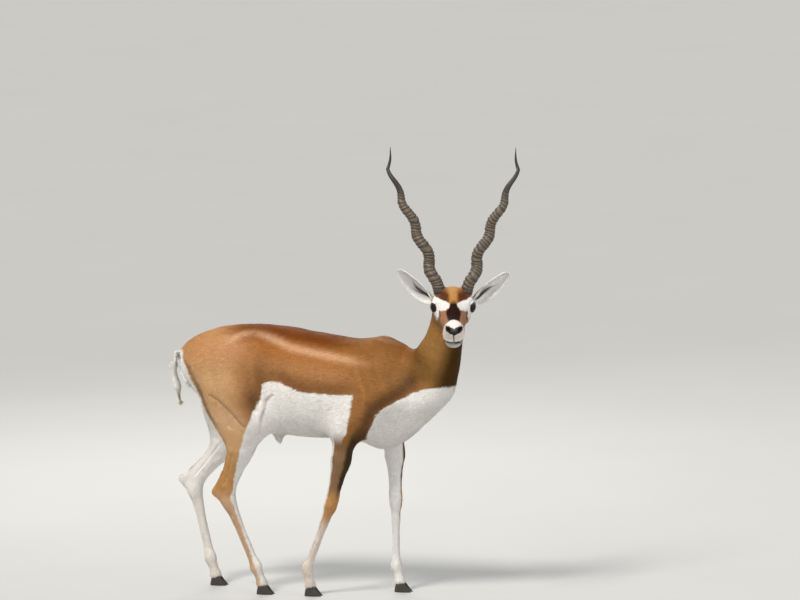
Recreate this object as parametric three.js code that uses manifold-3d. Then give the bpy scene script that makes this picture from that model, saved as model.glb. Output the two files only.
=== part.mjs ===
// An adult male blackbuck standing in a slow walk, its head turned to its right to look at the viewer.
// Millimetres, +Z up. The animal faces +X and its left side is +Y. The body is described as smooth flesh
// masses laid on a skeleton of named joints, meshed once per region and parted into solids by thin cuts.
import * as THREE from "three";
import Module from "manifold-3d";
import { mergeVertices } from "three/addons/utils/BufferGeometryUtils.js";

const wasm = await Module();
wasm.setup();

// Driving dimensions of the animal.
const CROUP_HEIGHT = 826;
const WITHERS_HEIGHT = 781;
const TRUNK_HALF_WIDTH = 116;
const CUT_GAP = 0.3;

// Trunk stations along the body: place, back line, belly line and half width.
const TRUNK = [
  { x: -404, top: 736, bottom: 690, half: 17 },
  { x: -380, top: 766, bottom: 650, half: 42 },
  { x: -330, top: 793, bottom: 600, half: 68 },
  { x: -250, top: 818, bottom: 556, half: 86 },
  { x: -150, top: CROUP_HEIGHT, bottom: 508, half: 93 },
  { x: -60, top: 823, bottom: 484, half: 108 },
  { x: 40, top: 808, bottom: 478, half: TRUNK_HALF_WIDTH },
  { x: 130, top: 794, bottom: 476, half: 113 },
  { x: 215, top: WITHERS_HEIGHT, bottom: 466, half: 98 },
  { x: 285, top: 772, bottom: 462, half: 84 },
  { x: 335, top: 757, bottom: 484, half: 74 },
  { x: 385, top: 722, bottom: 530, half: 64 },
  { x: 430, top: 680, bottom: 578, half: 48 },
  { x: 462, top: 650, bottom: 618, half: 20 },
];
const RIB_BARREL = 0.16;

// Neck stations by height: centre, half depth along the body and half width across it.
const NECK = [
  { z: 600, x: 404, y: 0, deep: 58, wide: 52 },
  { z: 660, x: 420, y: 0, deep: 70, wide: 60 },
  { z: 720, x: 436, y: 0, deep: 69, wide: 58 },
  { z: 780, x: 453, y: -2, deep: 61, wide: 52 },
  { z: 840, x: 467, y: -5, deep: 54, wide: 47 },
  { z: 880, x: 474, y: -8, deep: 49, wide: 44 },
  { z: 905, x: 476, y: -14, deep: 40, wide: 40 },
];

// Head placement: midpoint between the eyes, heading to the viewer, pitch of the face and a slight lean.
const EYES_MIDPOINT = new THREE.Vector3(516, -83, 902);
const HEAD_HEADING = -70;
const FACE_PITCH = 20;
const HEAD_LEAN = 2;

// Head sizes in its own frame: F to the nose, S to its left, T to the crown.
const NOSE_REACH = 152;
const MUZZLE_HALF_WIDTH = 35;
const EYE = { f: 2, s: 51, t: 2, radius: 17.5 };
const EYE_LOOK = 47;
const LID_THICKNESS = 2.6;
const LID_OPENING = { half_length: 15, half_height: 12, tilt: 14 };
const MOUTH = { corner: 80, drop_at_lips: -40, drop_at_corner: -31, height: 2.6, depth: 6 };
const NOSTRIL = { f: 153, s: 17, t: 2, length: 9, height: 3.6, depth: 9 };

// Horns: ringed, with an open spiral. Stations give the way outwards from the crown along the horn.
const HORN = {
  base_f: -34, base_t: 42, lean_back: 40, length: 450,
  turns_apart: 0.223, first_turn: 0.099, sink: 12,
  rings: 23, ringed_from: 0.035, ringed_to: 0.66, ring_height: 1.9, sides: 8,
};
const HORN_SPREAD = [
  { t: 0, out: 42 }, { t: 0.06, out: 51 }, { t: 0.3, out: 84 }, { t: 0.6, out: 145 },
  { t: 0.85, out: 194 }, { t: 1, out: 189 },
];
const HORN_RADIUS = [
  { t: 0, r: 17.5 }, { t: 0.25, r: 16 }, { t: 0.5, r: 14.4 }, { t: 0.66, r: 11 }, { t: 0.8, r: 7 },
  { t: 0.92, r: 4 }, { t: 1, r: 1.2 },
];
const HORN_SPIRAL = [{ t: 0, r: 3 }, { t: 0.1, r: 6 }, { t: 0.6, r: 6 }, { t: 0.85, r: 4 }, { t: 1, r: 1 }];

// Ears: leaf-shaped cups, from a narrow root to a pointed tip.
const EAR = {
  root: new THREE.Vector3(-60, 54, -9), bend: new THREE.Vector3(-64, 92, 0),
  tip: new THREE.Vector3(-56, 170, 89), right_tip_lift: 8, thick: 3.2, rows: 11, columns: 7,
};

// Tail: a short dock carried away from the rump, ending in a tapered tuft.
const TAIL = {
  root: [-384, 0, 736], bend: [-428, 0, 690], tip: [-414, 0, 628], tuft_end: [-404, 0, 566],
  root_radius: 17, dock_radius: 14, tuft_radius: 15, end_radius: 5,
};

// Leg joints on the animal's right, then its left. y is measured out from the midline.
const LEGS = {
  right: {
    side: -1,
    blade: [238, 42, 752], shoulder: [300, 74, 622], elbow: [160, 82, 512], knee: [104, 68, 290],
    fore_fetlock: [17, 61, 84], fore_coronet: [24, 60, 34], fore_toe: 20,
    hip: [-262, 58, 690], stifle: [-142, 84, 540], hock: [-236, 68, 300], heel: [-274, 66, 312],
    hind_fetlock: [-150, 61, 84], hind_coronet: [-132, 60, 34], hind_toe: -136,
  },
  left: {
    side: 1,
    blade: [252, 42, 752], shoulder: [322, 74, 628], elbow: [252, 82, 508], knee: [262, 67, 288],
    fore_fetlock: [260, 62, 82], fore_coronet: [271, 62, 34], fore_toe: 267,
    hip: [-282, 58, 690], stifle: [-220, 84, 512], hock: [-396, 68, 312], heel: [-434, 66, 326],
    hind_fetlock: [-346, 62, 84], hind_coronet: [-330, 62, 34], hind_toe: -334,
  },
};

// Flesh radii along the legs.
const FORE = {
  blade: 34, shoulder: 44, triceps: 44, elbow: 37, forearm: 31, over_knee: 20, knee: 21.5, cannon: 13,
  fetlock: 17.5,
};
const HIND = {
  hip: 66, buttock: 50, fold: 34, stifle: 46, gaskin: 33, over_hock: 20, hock: 23, tendon: 13, heel: 11,
  cannon: 15.5, fetlock: 18,
};
const PASTERN = { top: 14, coronet: 16.5, sole: 15, sunk: 22, forward: 8 };

// Hooves: two pointed toes on each foot, flat on the floor.
const HOOF = {
  length: 54, height: 33, width: 16, cleft: 1.2, top_shrink: 0.66, toe_ahead: 12, heel_share: 0.42, points: 9,
  hidden_top: 14, wall_foot: 0.12,
};

const vec = (a) => new THREE.Vector3(a[0], a[1], a[2]);
const mix = THREE.MathUtils.lerp;
const radians = THREE.MathUtils.degToRad;

// Cubic reading of one named value from a list of stations, flat beyond its ends.
function along(stations, key, place, value) {
  const last = stations.length - 1;
  if (place <= stations[0][key]) return stations[0][value];
  if (place >= stations[last][key]) return stations[last][value];
  let i = 0;
  while (stations[i + 1][key] < place) i++;
  const a = stations[i];
  const b = stations[i + 1];
  const before = stations[Math.max(i - 1, 0)];
  const after = stations[Math.min(i + 2, last)];
  const span = b[key] - a[key];
  const u = (place - a[key]) / span;
  const slopeA = ((b[value] - before[value]) / (b[key] - before[key])) * span;
  const slopeB = ((after[value] - a[value]) / (after[key] - a[key])) * span;
  const u2 = u * u;
  const u3 = u2 * u;
  return (2 * u3 - 3 * u2 + 1) * a[value] + (u3 - 2 * u2 + u) * slopeA
    + (3 * u2 - 2 * u3) * b[value] + (u3 - u2) * slopeB;
}

// A flesh mass is a function of a point that is negative inside, in millimetres.
const blended = (a, b, k) => {
  const h = Math.max(k - Math.abs(a - b), 0) / k;
  return Math.min(a, b) - h * h * k * 0.25;
};

// Tapered capsule between two points, flattened across the body by a share of its width.
// The first mass of a list, with the others blended on one by one.
function together(pieces, p) {
  return pieces.reduce((d, { mass, soft }) => (soft ? blended(d, mass(p), soft) : mass(p)), 0);
}

function limb(from, to, r1, r2, flat = 1) {
  const squeeze = (v) => new THREE.Vector3(v.x, v.y / flat, v.z);
  const a = squeeze(from);
  const axis = squeeze(to).sub(a);
  const length2 = axis.lengthSq();
  const p = new THREE.Vector3();
  return (q) => {
    p.set(q.x - a.x, q.y / flat - a.y, q.z - a.z);
    const h = THREE.MathUtils.clamp(p.dot(axis) / length2, 0, 1);
    return (p.addScaledVector(axis, -h).length() - mix(r1, r2, h)) * Math.min(1, flat);
  };
}

// Ellipsoid with radii along its own axes, which a matrix may turn.
function lump(centre, radii, turn) {
  const inverse = new THREE.Matrix4();
  if (turn) inverse.copy(turn).invert();
  const p = new THREE.Vector3();
  return (q) => {
    p.set(q.x - centre.x, q.y - centre.y, q.z - centre.z);
    if (turn) p.applyMatrix4(inverse);
    const a = Math.hypot(p.x / radii[0], p.y / radii[1], p.z / radii[2]);
    const b = Math.hypot(p.x / radii[0] ** 2, p.y / radii[1] ** 2, p.z / radii[2] ** 2);
    return b > 0 ? (a * (a - 1)) / b : -Math.min(...radii);
  };
}

function trunkMass(p) {
  const first = TRUNK[0].x;
  const last = TRUNK[TRUNK.length - 1].x;
  const x = THREE.MathUtils.clamp(p.x, first, last);
  const top = along(TRUNK, "x", x, "top");
  const bottom = along(TRUNK, "x", x, "bottom");
  const half = along(TRUNK, "x", x, "half");
  const tall = (top - bottom) / 2;
  const t = (p.z - (top + bottom) / 2) / tall;
  const barrel = 1 - RIB_BARREL * THREE.MathUtils.clamp(t, -1, 1);
  const inside = (Math.hypot(p.y / (half * barrel), t) - 1) * Math.min(half, tall);
  const beyond = Math.abs(p.x - x);
  return beyond > 0 ? Math.hypot(beyond, Math.max(inside, 0)) + Math.min(inside, 0) : inside;
}

function neckMass(p) {
  const first = NECK[0].z;
  const last = NECK[NECK.length - 1].z;
  const z = THREE.MathUtils.clamp(p.z, first, last);
  const deep = along(NECK, "z", z, "deep");
  const wide = along(NECK, "z", z, "wide");
  const dx = (p.x - along(NECK, "z", z, "x")) / deep;
  const dy = (p.y - along(NECK, "z", z, "y")) / wide;
  const inside = (Math.hypot(dx, dy) - 1) * Math.min(deep, wide);
  const beyond = Math.abs(p.z - z);
  return beyond > 0 ? Math.hypot(beyond, Math.max(inside, 0)) + Math.min(inside, 0) : inside;
}

// The head's frame in the world.
const headFrame = new THREE.Matrix4().makeTranslation(EYES_MIDPOINT)
  .multiply(new THREE.Matrix4().makeRotationZ(radians(HEAD_HEADING)))
  .multiply(new THREE.Matrix4().makeRotationY(radians(FACE_PITCH)))
  .multiply(new THREE.Matrix4().makeRotationX(radians(-HEAD_LEAN)));
const headInverse = headFrame.clone().invert();

function headMasses() {
  const at = (f, s, t) => new THREE.Vector3(f, s, t);
  const lidRadius = EYE.radius + LID_THICKNESS;
  const pieces = [
    { mass: lump(at(-44, 0, -2), [54, 49, 42]), soft: 0 },
    { mass: lump(at(-20, 0, 20), [34, 44, 27]), soft: 14 },
    { mass: limb(at(0, 0, -8), at(112, 0, -12), 44, 27, 1.02), soft: 22 },
    { mass: lump(at(122, 0, -12), [31, MUZZLE_HALF_WIDTH - 3, 27]), soft: 16 },
    { mass: limb(at(-52, 0, -53), at(112, 0, -51), 25, 17, 1.15), soft: 16 },
    { mass: lump(at(129, 0, -48), [23, MUZZLE_HALF_WIDTH - 8, 21]), soft: 12 },
  ];
  for (const side of [-1, 1]) {
    pieces.push(
      { mass: lump(at(-30, side * 33, -32), [46, 24, 38]), soft: 18 },
      { mass: lump(at(-6, side * 40, 10), [34, 22, 21]), soft: 14 },
      { mass: limb(at(14, side * 40, -14), at(86, side * 17, -20), 15, 13), soft: 16 },
      { mass: lump(at(126, side * 16, -26), [20, 19, 17]), soft: 8 },
      { mass: lump(at(137, side * 14, 0), [15, 15, 13]), soft: 8 },
      { mass: limb(at(-64, side * 34, -12), at(-65, side * 56, -8), 18, 14), soft: 14 },
      {
        mass: limb(at(HORN.base_f - 2, side * 37, 30), at(HORN.base_f - 8, side * 43, 42), 20, 18),
        soft: 12,
      },
      { mass: lump(at(EYE.f, side * EYE.s, EYE.t), [lidRadius, lidRadius, lidRadius]), soft: 9 },
    );
  }
  return pieces;
}
const headPieces = headMasses();
const headPoint = new THREE.Vector3();

function headMass(p) {
  headPoint.copy(p).applyMatrix4(headInverse);
  return together(headPieces, headPoint);
}

// The flesh of one foreleg and one hind leg, from the blade and the hip down to the coronets.
function legMasses(leg) {
  const at = ([x, y, z]) => new THREE.Vector3(x, leg.side * y, z);
  const between = (a, b, share, lift = [0, 0, 0]) =>
    at(a).lerp(at(b), share).add(new THREE.Vector3(lift[0], leg.side * lift[1], lift[2]));
  const near = (a, lift) => between(a, a, 0, lift);
  const j = leg;
  const piece = (from, to, r1, r2, flat, soft) => ({ mass: limb(from, to, r1, r2, flat), soft });
  const knot = (joint, r) => ({ mass: lump(at(joint), [r, r - 1, r + 5]), soft: 12 });
  const foot = (coronet) => near(coronet, [PASTERN.forward, 0, -PASTERN.sunk]);
  const forearm = (share) => between(j.elbow, j.knee, share, share < 0.5 ? [4, 0, 0] : [0, 0, 0]);
  const foreCannon = (share) => between(j.knee, j.fore_fetlock, share);
  const gaskin = (share, lift) => between(j.stifle, j.hock, share, lift);
  const hindCannon = (share) => between(j.hock, j.hind_fetlock, share);
  const thighBack = near(j.hip, [-62, -8, -10]);
  const flankFold = near(j.hip, [90, 8, -34]);
  return {
    fore: [
      piece(at(j.blade), at(j.shoulder), FORE.blade, FORE.shoulder, 0.72, 46),
      piece(at(j.shoulder), at(j.elbow), FORE.shoulder - 2, FORE.elbow, 0.8, 34),
      piece(between(j.blade, j.elbow, 0.35), near(j.elbow, [-6, 0, 10]), FORE.triceps, FORE.forearm, 0.7, 36),
      piece(at(j.elbow), forearm(0.4), FORE.elbow, FORE.forearm, 0.8, 20),
      piece(forearm(0.4), forearm(0.9), FORE.forearm, FORE.over_knee, 0.85, 16),
      piece(forearm(0.92), foreCannon(0.06), FORE.knee, FORE.knee - 1.5, 0.92, 12),
      piece(foreCannon(0.05), foreCannon(0.36), FORE.knee - 3, FORE.cannon, 0.95, 12),
      piece(foreCannon(0.3), at(j.fore_fetlock), FORE.cannon, FORE.cannon + 0.5, 1, 8),
      knot(j.fore_fetlock, FORE.fetlock),
      piece(at(j.fore_fetlock), at(j.fore_coronet), PASTERN.top, PASTERN.coronet, 1, 10),
      piece(at(j.fore_coronet), foot(j.fore_coronet), PASTERN.coronet, PASTERN.sole, 1, 8),
    ],
    hind: [
      piece(at(j.hip), at(j.stifle), HIND.hip, HIND.stifle, 0.66, 50),
      piece(thighBack, gaskin(0.3, [-34, -4, 6]), HIND.buttock, HIND.over_hock + 12, 0.72, 44),
      piece(flankFold, at(j.stifle), HIND.fold, HIND.fold, 0.6, 44),
      piece(at(j.stifle), gaskin(0.42), HIND.stifle - 6, HIND.gaskin, 0.8, 30),
      piece(gaskin(0.4), gaskin(0.86), HIND.gaskin, HIND.over_hock, 0.85, 20),
      piece(gaskin(0.5, [-30, 0, -6]), at(j.heel), HIND.tendon, HIND.heel, 0.85, 22),
      piece(at(j.heel), hindCannon(0.2), HIND.heel, HIND.tendon, 0.9, 16),
      piece(gaskin(0.92), hindCannon(0.1), HIND.hock - 2, HIND.hock - 3, 0.88, 14),
      piece(hindCannon(0.1), hindCannon(0.34), HIND.hock - 5, HIND.cannon, 0.9, 14),
      piece(hindCannon(0.3), at(j.hind_fetlock), HIND.cannon, HIND.cannon, 0.88, 8),
      knot(j.hind_fetlock, HIND.fetlock),
      piece(at(j.hind_fetlock), at(j.hind_coronet), PASTERN.top + 0.5, PASTERN.coronet, 1, 10),
      piece(at(j.hind_coronet), foot(j.hind_coronet), PASTERN.coronet, PASTERN.sole, 1, 8),
    ],
  };
}
const LEG_MASSES = { right: legMasses(LEGS.right), left: legMasses(LEGS.left) };

const TRUNK_EXTRAS = [
  { mass: limb(vec([-96, 0, 512]), vec([-80, 0, 462]), 22, 12), soft: 10 },
  { mass: limb(vec([-80, 0, 462]), vec([-76, 0, 438]), 12, 6), soft: 4 },
  { mass: limb(vec([330, 0, 560]), vec([250, 0, 492]), 44, 36, 1.1), soft: 40 },
  { mass: limb(vec([150, 0, 749]), vec([290, 0, 741]), 22, 23, 1.2), soft: 30 },
];

// The whole body as one mass: nearby limbs only, so that a leg never fuses with its neighbour.
function bodyMass(p) {
  let d = trunkMass(p);
  for (const { mass, soft } of TRUNK_EXTRAS) d = blended(d, mass(p), soft);
  d = blended(d, neckMass(p), 44);
  const side = p.y < 0 ? "right" : "left";
  for (const { mass, soft } of LEG_MASSES[side].fore) d = blended(d, mass(p), soft);
  for (const { mass, soft } of LEG_MASSES[side].hind) d = blended(d, mass(p), soft);
  return blended(d, headMass(p), 26);
}

// Closed surface of a mass inside a box of cells. Every cell that the surface crosses gets one corner, and
// the corner is then slid onto the surface. The box may stand in a frame of its own.
function skin(mass, low, high, cell, frame = new THREE.Matrix4()) {
  const count = [0, 1, 2].map((a) => Math.ceil((high[a] - low[a]) / cell[a]) + 1);
  const index = (i, j, k) => (k * count[1] + j) * count[0] + i;
  const world = (i, j, k, out) =>
    out.set(low[0] + i * cell[0], low[1] + j * cell[1], low[2] + k * cell[2]).applyMatrix4(frame);
  const values = new Float64Array(count[0] * count[1] * count[2]);
  const p = new THREE.Vector3();
  const onRim = (i, a) => i === 0 || i === count[a] - 1;
  for (let k = 0; k < count[2]; k++) {
    for (let j = 0; j < count[1]; j++) {
      for (let i = 0; i < count[0]; i++) {
        const d = mass(world(i, j, k, p));
        const rim = onRim(i, 0) || onRim(j, 1) || onRim(k, 2);
        values[index(i, j, k)] = rim ? Math.max(d, 1) : d;
      }
    }
  }
  const corners = [];
  const cornerOf = new Map();
  const steps = [0, 1, 2, 3, 4, 5, 6, 7].map((n) => [n & 1, (n >> 1) & 1, n >> 2]);
  const edges = [];
  for (let a = 0; a < 8; a++) {
    for (const bit of [1, 2, 4]) if (!(a & bit)) edges.push([a, a | bit]);
  }
  const a3 = new THREE.Vector3();
  const b3 = new THREE.Vector3();
  for (let k = 0; k < count[2] - 1; k++) {
    for (let j = 0; j < count[1] - 1; j++) {
      for (let i = 0; i < count[0] - 1; i++) {
        const v = steps.map(([x, y, z]) => values[index(i + x, j + y, k + z)]);
        if (v.every((d) => d > 0) || v.every((d) => d <= 0)) continue;
        const sum = new THREE.Vector3();
        let crossings = 0;
        for (const [a, b] of edges) {
          if (v[a] > 0 === v[b] > 0) continue;
          world(i + steps[a][0], j + steps[a][1], k + steps[a][2], a3);
          world(i + steps[b][0], j + steps[b][1], k + steps[b][2], b3);
          sum.add(a3.lerp(b3, v[a] / (v[a] - v[b])));
          crossings++;
        }
        sum.divideScalar(crossings);
        const rim = [i, j, k].some((n, a) => n === 0 || n === count[a] - 2);
        if (!rim) slideOnto(mass, sum, Math.min(...cell) * 0.45);
        cornerOf.set(index(i, j, k), corners.length / 3);
        corners.push(sum.x, sum.y, sum.z);
      }
    }
  }
  const faces = [];
  const point = (n) => new THREE.Vector3().fromArray(corners, n * 3);
  const apart = (m, n) => point(m).distanceToSquared(point(n));
  const quad = (a, b, c, d) => {
    if (apart(a, c) <= apart(b, d)) faces.push(a, b, c, a, c, d);
    else faces.push(b, c, d, b, d, a);
  };
  for (let k = 0; k < count[2] - 1; k++) {
    for (let j = 0; j < count[1] - 1; j++) {
      for (let i = 0; i < count[0] - 1; i++) {
        const here = values[index(i, j, k)] > 0;
        [[1, 0, 0], [0, 1, 0], [0, 0, 1]].forEach(([x, y, z], axis) => {
          const there = values[index(i + x, j + y, k + z)] > 0;
          if (here === there) return;
          const u = [[0, 1, 0], [0, 0, 1], [1, 0, 0]][axis];
          const w = [[0, 0, 1], [1, 0, 0], [0, 1, 0]][axis];
          const near = (m, n) => cornerOf.get(index(i - m * u[0] - n * w[0], j - m * u[1] - n * w[1],
            k - m * u[2] - n * w[2]));
          const ring = [near(0, 0), near(1, 0), near(1, 1), near(0, 1)];
          if (here) ring.reverse();
          quad(...ring);
        });
      }
    }
  }
  return solid(corners, faces);
}

// Newton steps down the slope of the mass, never further than the reach.
function slideOnto(mass, p, reach) {
  const start = p.clone();
  const h = 0.4;
  const q = new THREE.Vector3();
  for (let n = 0; n < 3; n++) {
    const d = mass(p);
    const slope = new THREE.Vector3(
      mass(q.copy(p).setX(p.x + h)) - d,
      mass(q.copy(p).setY(p.y + h)) - d,
      mass(q.copy(p).setZ(p.z + h)) - d,
    ).divideScalar(h);
    p.addScaledVector(slope, -d / Math.max(slope.lengthSq(), 0.25));
  }
  const moved = p.clone().sub(start).clampLength(0, reach);
  p.copy(start).add(moved);
}

function solid(corners, faces) {
  const mesh = new wasm.Mesh({
    numProp: 3,
    vertProperties: Float32Array.from(corners),
    triVerts: Uint32Array.from(faces),
  });
  mesh.merge();
  return new wasm.Manifold(mesh);
}

function solidOf(geometry) {
  const bare = new THREE.BufferGeometry();
  bare.setAttribute("position", geometry.getAttribute("position"));
  if (geometry.index) bare.setIndex(geometry.index);
  const merged = mergeVertices(bare, 1e-4);
  return solid(merged.getAttribute("position").array, merged.index.array);
}

// Removes the needles that a cut leaves: joins corners closer than the shortest useful edge, and turns the
// long side of every flat sliver.
const SHORTEST_EDGE = 0.12;
const THINNEST_FACE = 0.02;
function tidied(body, reach) {
  const mesh = body.getMesh();
  const points = [];
  for (let i = 0; i < mesh.vertProperties.length; i += 3) {
    points.push(new THREE.Vector3().fromArray(mesh.vertProperties, i));
  }
  let faces = [];
  for (let i = 0; i < mesh.triVerts.length; i += 3) faces.push(Array.from(mesh.triVerts.slice(i, i + 3)));
  for (let pass = 0; pass < 12; pass++) {
    const joined = joinShortEdges(points, faces);
    const turned = turnSlivers(points, joined.faces);
    faces = turned.faces;
    if (!joined.changed && !turned.changed) break;
  }
  for (let pass = 0; pass < 6 && reach; pass++) faces = thinFlatParts(points, faces, reach);
  partTwins(points, faces);
  const used = new Map();
  const corners = [];
  const indices = faces.flat().map((v) => {
    if (!used.has(v)) {
      used.set(v, used.size);
      corners.push(...points[v].toArray());
    }
    return used.get(v);
  });
  return { corners, indices };
}

function neighboursOf(faces) {
  const around = new Map();
  faces.forEach((face) => face.forEach((v, i) => {
    if (!around.has(v)) around.set(v, new Set());
    around.get(v).add(face[(i + 1) % 3]).add(face[(i + 2) % 3]);
  }));
  return around;
}

function joinShortEdges(points, faces) {
  const around = neighboursOf(faces);
  const into = new Map();
  const busy = new Set();
  for (const [a, ring] of around) {
    for (const b of ring) {
      if (a > b || busy.has(a) || busy.has(b)) continue;
      if (points[a].distanceTo(points[b]) > SHORTEST_EDGE) continue;
      const shared = [...ring].filter((v) => around.get(b).has(v));
      if (shared.length !== 2) continue;
      into.set(b, a);
      for (const v of [...ring, ...around.get(b)]) busy.add(v);
      break;
    }
  }
  const kept = faces
    .map((face) => face.map((v) => into.get(v) ?? v))
    .filter(([a, b, c]) => a !== b && b !== c && c !== a);
  return { faces: kept, changed: into.size > 0 };
}

const LID_MARGIN = 1.5;
function onLids(p) {
  const reach = EYE.radius + LID_THICKNESS + LID_MARGIN;
  return [-1, 1].some((side) => p.distanceTo(eyeCentre(side)) < reach);
}

// Drops corners that lie where the skin is nearly flat, closer to a neighbour than the reach. The turns are
// cosines: of how far the faces round a corner may lean from their mean, and of how far a face may turn.
const FLAT_TURN = 0.94;
const KEPT_TURN = 0.972;
function thinFlatParts(points, faces, reach) {
  const around = neighboursOf(faces);
  const touching = new Map();
  faces.forEach((face, n) => face.forEach((v) => {
    if (!touching.has(v)) touching.set(v, []);
    touching.get(v).push(n);
  }));
  const normalOf = ([a, b, c]) => points[b].clone().sub(points[a]).cross(points[c].clone().sub(points[a]));
  const normals = faces.map((face) => normalOf(face).normalize());
  const into = new Map();
  const busy = new Set();
  for (const [v, ring] of around) {
    if (busy.has(v) || onLids(points[v])) continue;
    const near = touching.get(v);
    const mean = near.reduce((sum, n) => sum.add(normals[n]), new THREE.Vector3()).normalize();
    if (near.some((n) => normals[n].dot(mean) < FLAT_TURN)) continue;
    const choices = [...ring].filter((u) => !busy.has(u) && points[u].distanceTo(points[v]) < reach)
      .sort((a, b) => points[a].distanceTo(points[v]) - points[b].distanceTo(points[v]));
    for (const u of choices) {
      if ([...ring].filter((n) => around.get(u).has(n)).length !== 2) continue;
      const keepsForm = near.every((n) => {
        if (faces[n].includes(u)) return true;
        const moved = normalOf(faces[n].map((c) => (c === v ? u : c)));
        return moved.length() > 0.5 && moved.normalize().dot(normals[n]) > KEPT_TURN;
      });
      if (!keepsForm) continue;
      into.set(v, u);
      for (const n of [...ring, ...around.get(u)]) busy.add(n);
      break;
    }
  }
  return faces
    .map((face) => face.map((v) => into.get(v) ?? v))
    .filter(([a, b, c]) => a !== b && b !== c && c !== a);
}

// Two corners may lie at one place where the surface touches itself: each moves a little into its own side.
function partTwins(points, faces) {
  const around = neighboursOf(faces);
  const first = new Map();
  for (const [v, ring] of around) {
    const key = points[v].toArray().map((c) => Math.round(c * 200)).join();
    if (!first.has(key)) {
      first.set(key, v);
      continue;
    }
    const middle = [...ring].reduce((sum, n) => sum.add(points[n]), new THREE.Vector3());
    middle.divideScalar(ring.size);
    points[v].add(middle.sub(points[v]).setLength(SHORTEST_EDGE / 2));
  }
}

function turnSlivers(points, faces) {
  const owner = new Map();
  faces.forEach((face, n) => face.forEach((v, i) => owner.set(`${v},${face[(i + 1) % 3]}`, n)));
  const around = neighboursOf(faces);
  const done = new Set();
  const side = (a, b) => points[a].distanceTo(points[b]);
  let changed = false;
  faces.forEach((face, n) => {
    if (done.has(n)) return;
    const lengths = face.map((v, i) => side(v, face[(i + 1) % 3]));
    const i = lengths.indexOf(Math.max(...lengths));
    const [a, b, c] = [face[i], face[(i + 1) % 3], face[(i + 2) % 3]];
    const area = points[b].clone().sub(points[a]).cross(points[c].clone().sub(points[a])).length();
    if (area / lengths[i] > THINNEST_FACE) return;
    const m = owner.get(`${b},${a}`);
    if (m === undefined || done.has(m)) return;
    const d = faces[m].find((v) => v !== a && v !== b);
    if (around.get(c).has(d)) return;
    faces[n] = [a, d, c];
    faces[m] = [d, b, c];
    done.add(n).add(m);
    changed = true;
  });
  return { faces, changed };
}

const largest = (body) => body.decompose().sort((a, b) => b.volume() - a.volume())[0];

// Everything on the side of a plane that its normal points to, moved along the normal by the offset.
const WORLD_SIZE = 4000;
function beyond(point, normal, offset = 0) {
  const n = normal.clone().normalize();
  const turn = new THREE.Quaternion().setFromUnitVectors(new THREE.Vector3(0, 0, 1), n);
  const box = new THREE.BoxGeometry(WORLD_SIZE, WORLD_SIZE, WORLD_SIZE);
  box.translate(0, 0, WORLD_SIZE / 2 + offset);
  box.applyQuaternion(turn);
  box.translate(point.x, point.y, point.z);
  return solidOf(box);
}

// Closed tube through rings of equal point count, with flat ends closed by a fan.
function loft(rings) {
  const sides = rings[0].length;
  const corners = rings.flat().flatMap((p) => [p.x, p.y, p.z]);
  const faces = [];
  for (let r = 0; r < rings.length - 1; r++) {
    for (let i = 0; i < sides; i++) {
      const a = r * sides + i;
      const b = r * sides + ((i + 1) % sides);
      faces.push(a, b, b + sides, a, b + sides, a + sides);
    }
  }
  const cap = (ring, first, flip) => {
    const centre = corners.length / 3;
    const middle = ring.reduce((sum, p) => sum.add(p), new THREE.Vector3()).divideScalar(sides);
    corners.push(middle.x, middle.y, middle.z);
    for (let i = 0; i < sides; i++) {
      const a = first + i;
      const b = first + ((i + 1) % sides);
      faces.push(...(flip ? [b, a, centre] : [a, b, centre]));
    }
  };
  cap(rings[0], 0, true);
  cap(rings[rings.length - 1], (rings.length - 1) * sides, false);
  const body = solid(corners, faces);
  return body.volume() < 0 ? solid(corners, faces.reverse()) : body;
}

const headDirection = (f, s, t) => new THREE.Vector3(f, s, t).transformDirection(headFrame);
const headPlace = (f, s, t) => new THREE.Vector3(f, s, t).applyMatrix4(headFrame);

// Cuts between the regions. Each is a plane given by a point and the direction towards the outer piece.
const NECK_CUT = { point: vec([362, 0, 764]), normal: vec([0.757, 0, 0.654]) };
const HEAD_CUT = { point: headPlace(-102, 0, 35), normal: headDirection(0.776, 0, 0.63) };
const TAIL_CUT = { point: vec([-397, 0, 727]), normal: vec([-0.84, 0, -0.54]) };
const FORE_CUT = { inner_y: 52, inner_z: 462, rise: 1.18, forward: 0, at_x: 0 };
const HIND_CUT = { inner_y: 45, inner_z: 505, rise: 1.85, forward: -0.35, at_x: -200 };

function legPlane(leg, cut, offset) {
  const normal = new THREE.Vector3(cut.forward, leg.side * cut.rise, -1);
  return beyond(new THREE.Vector3(cut.at_x, leg.side * cut.inner_y, cut.inner_z), normal, offset);
}

// The part of space that belongs to one leg, grown or shrunk by an offset.
function legSpace(leg, cut, offset) {
  const inner = beyond(new THREE.Vector3(0, leg.side * 6, 0), new THREE.Vector3(0, leg.side, 0), offset);
  const x = (cut === FORE_CUT ? 1 : -1);
  const half = beyond(new THREE.Vector3(x * 30 - 20, 0, 0), new THREE.Vector3(x, 0, 0), offset);
  return legPlane(leg, cut, offset).intersect(inner).intersect(half);
}

const GAP = CUT_GAP / 2;

function torsoSolid() {
  let body = skin(bodyMass, [-440, -150, 372], [540, 150, 860], [20, 17.5, 18.5]);
  body = body.subtract(beyond(NECK_CUT.point, NECK_CUT.normal, -GAP));
  body = body.subtract(tailSpace(-GAP));
  for (const leg of Object.values(LEGS)) {
    body = body.subtract(legSpace(leg, FORE_CUT, -GAP));
    body = body.subtract(legSpace(leg, HIND_CUT, -GAP));
  }
  return largest(body);
}

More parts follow.
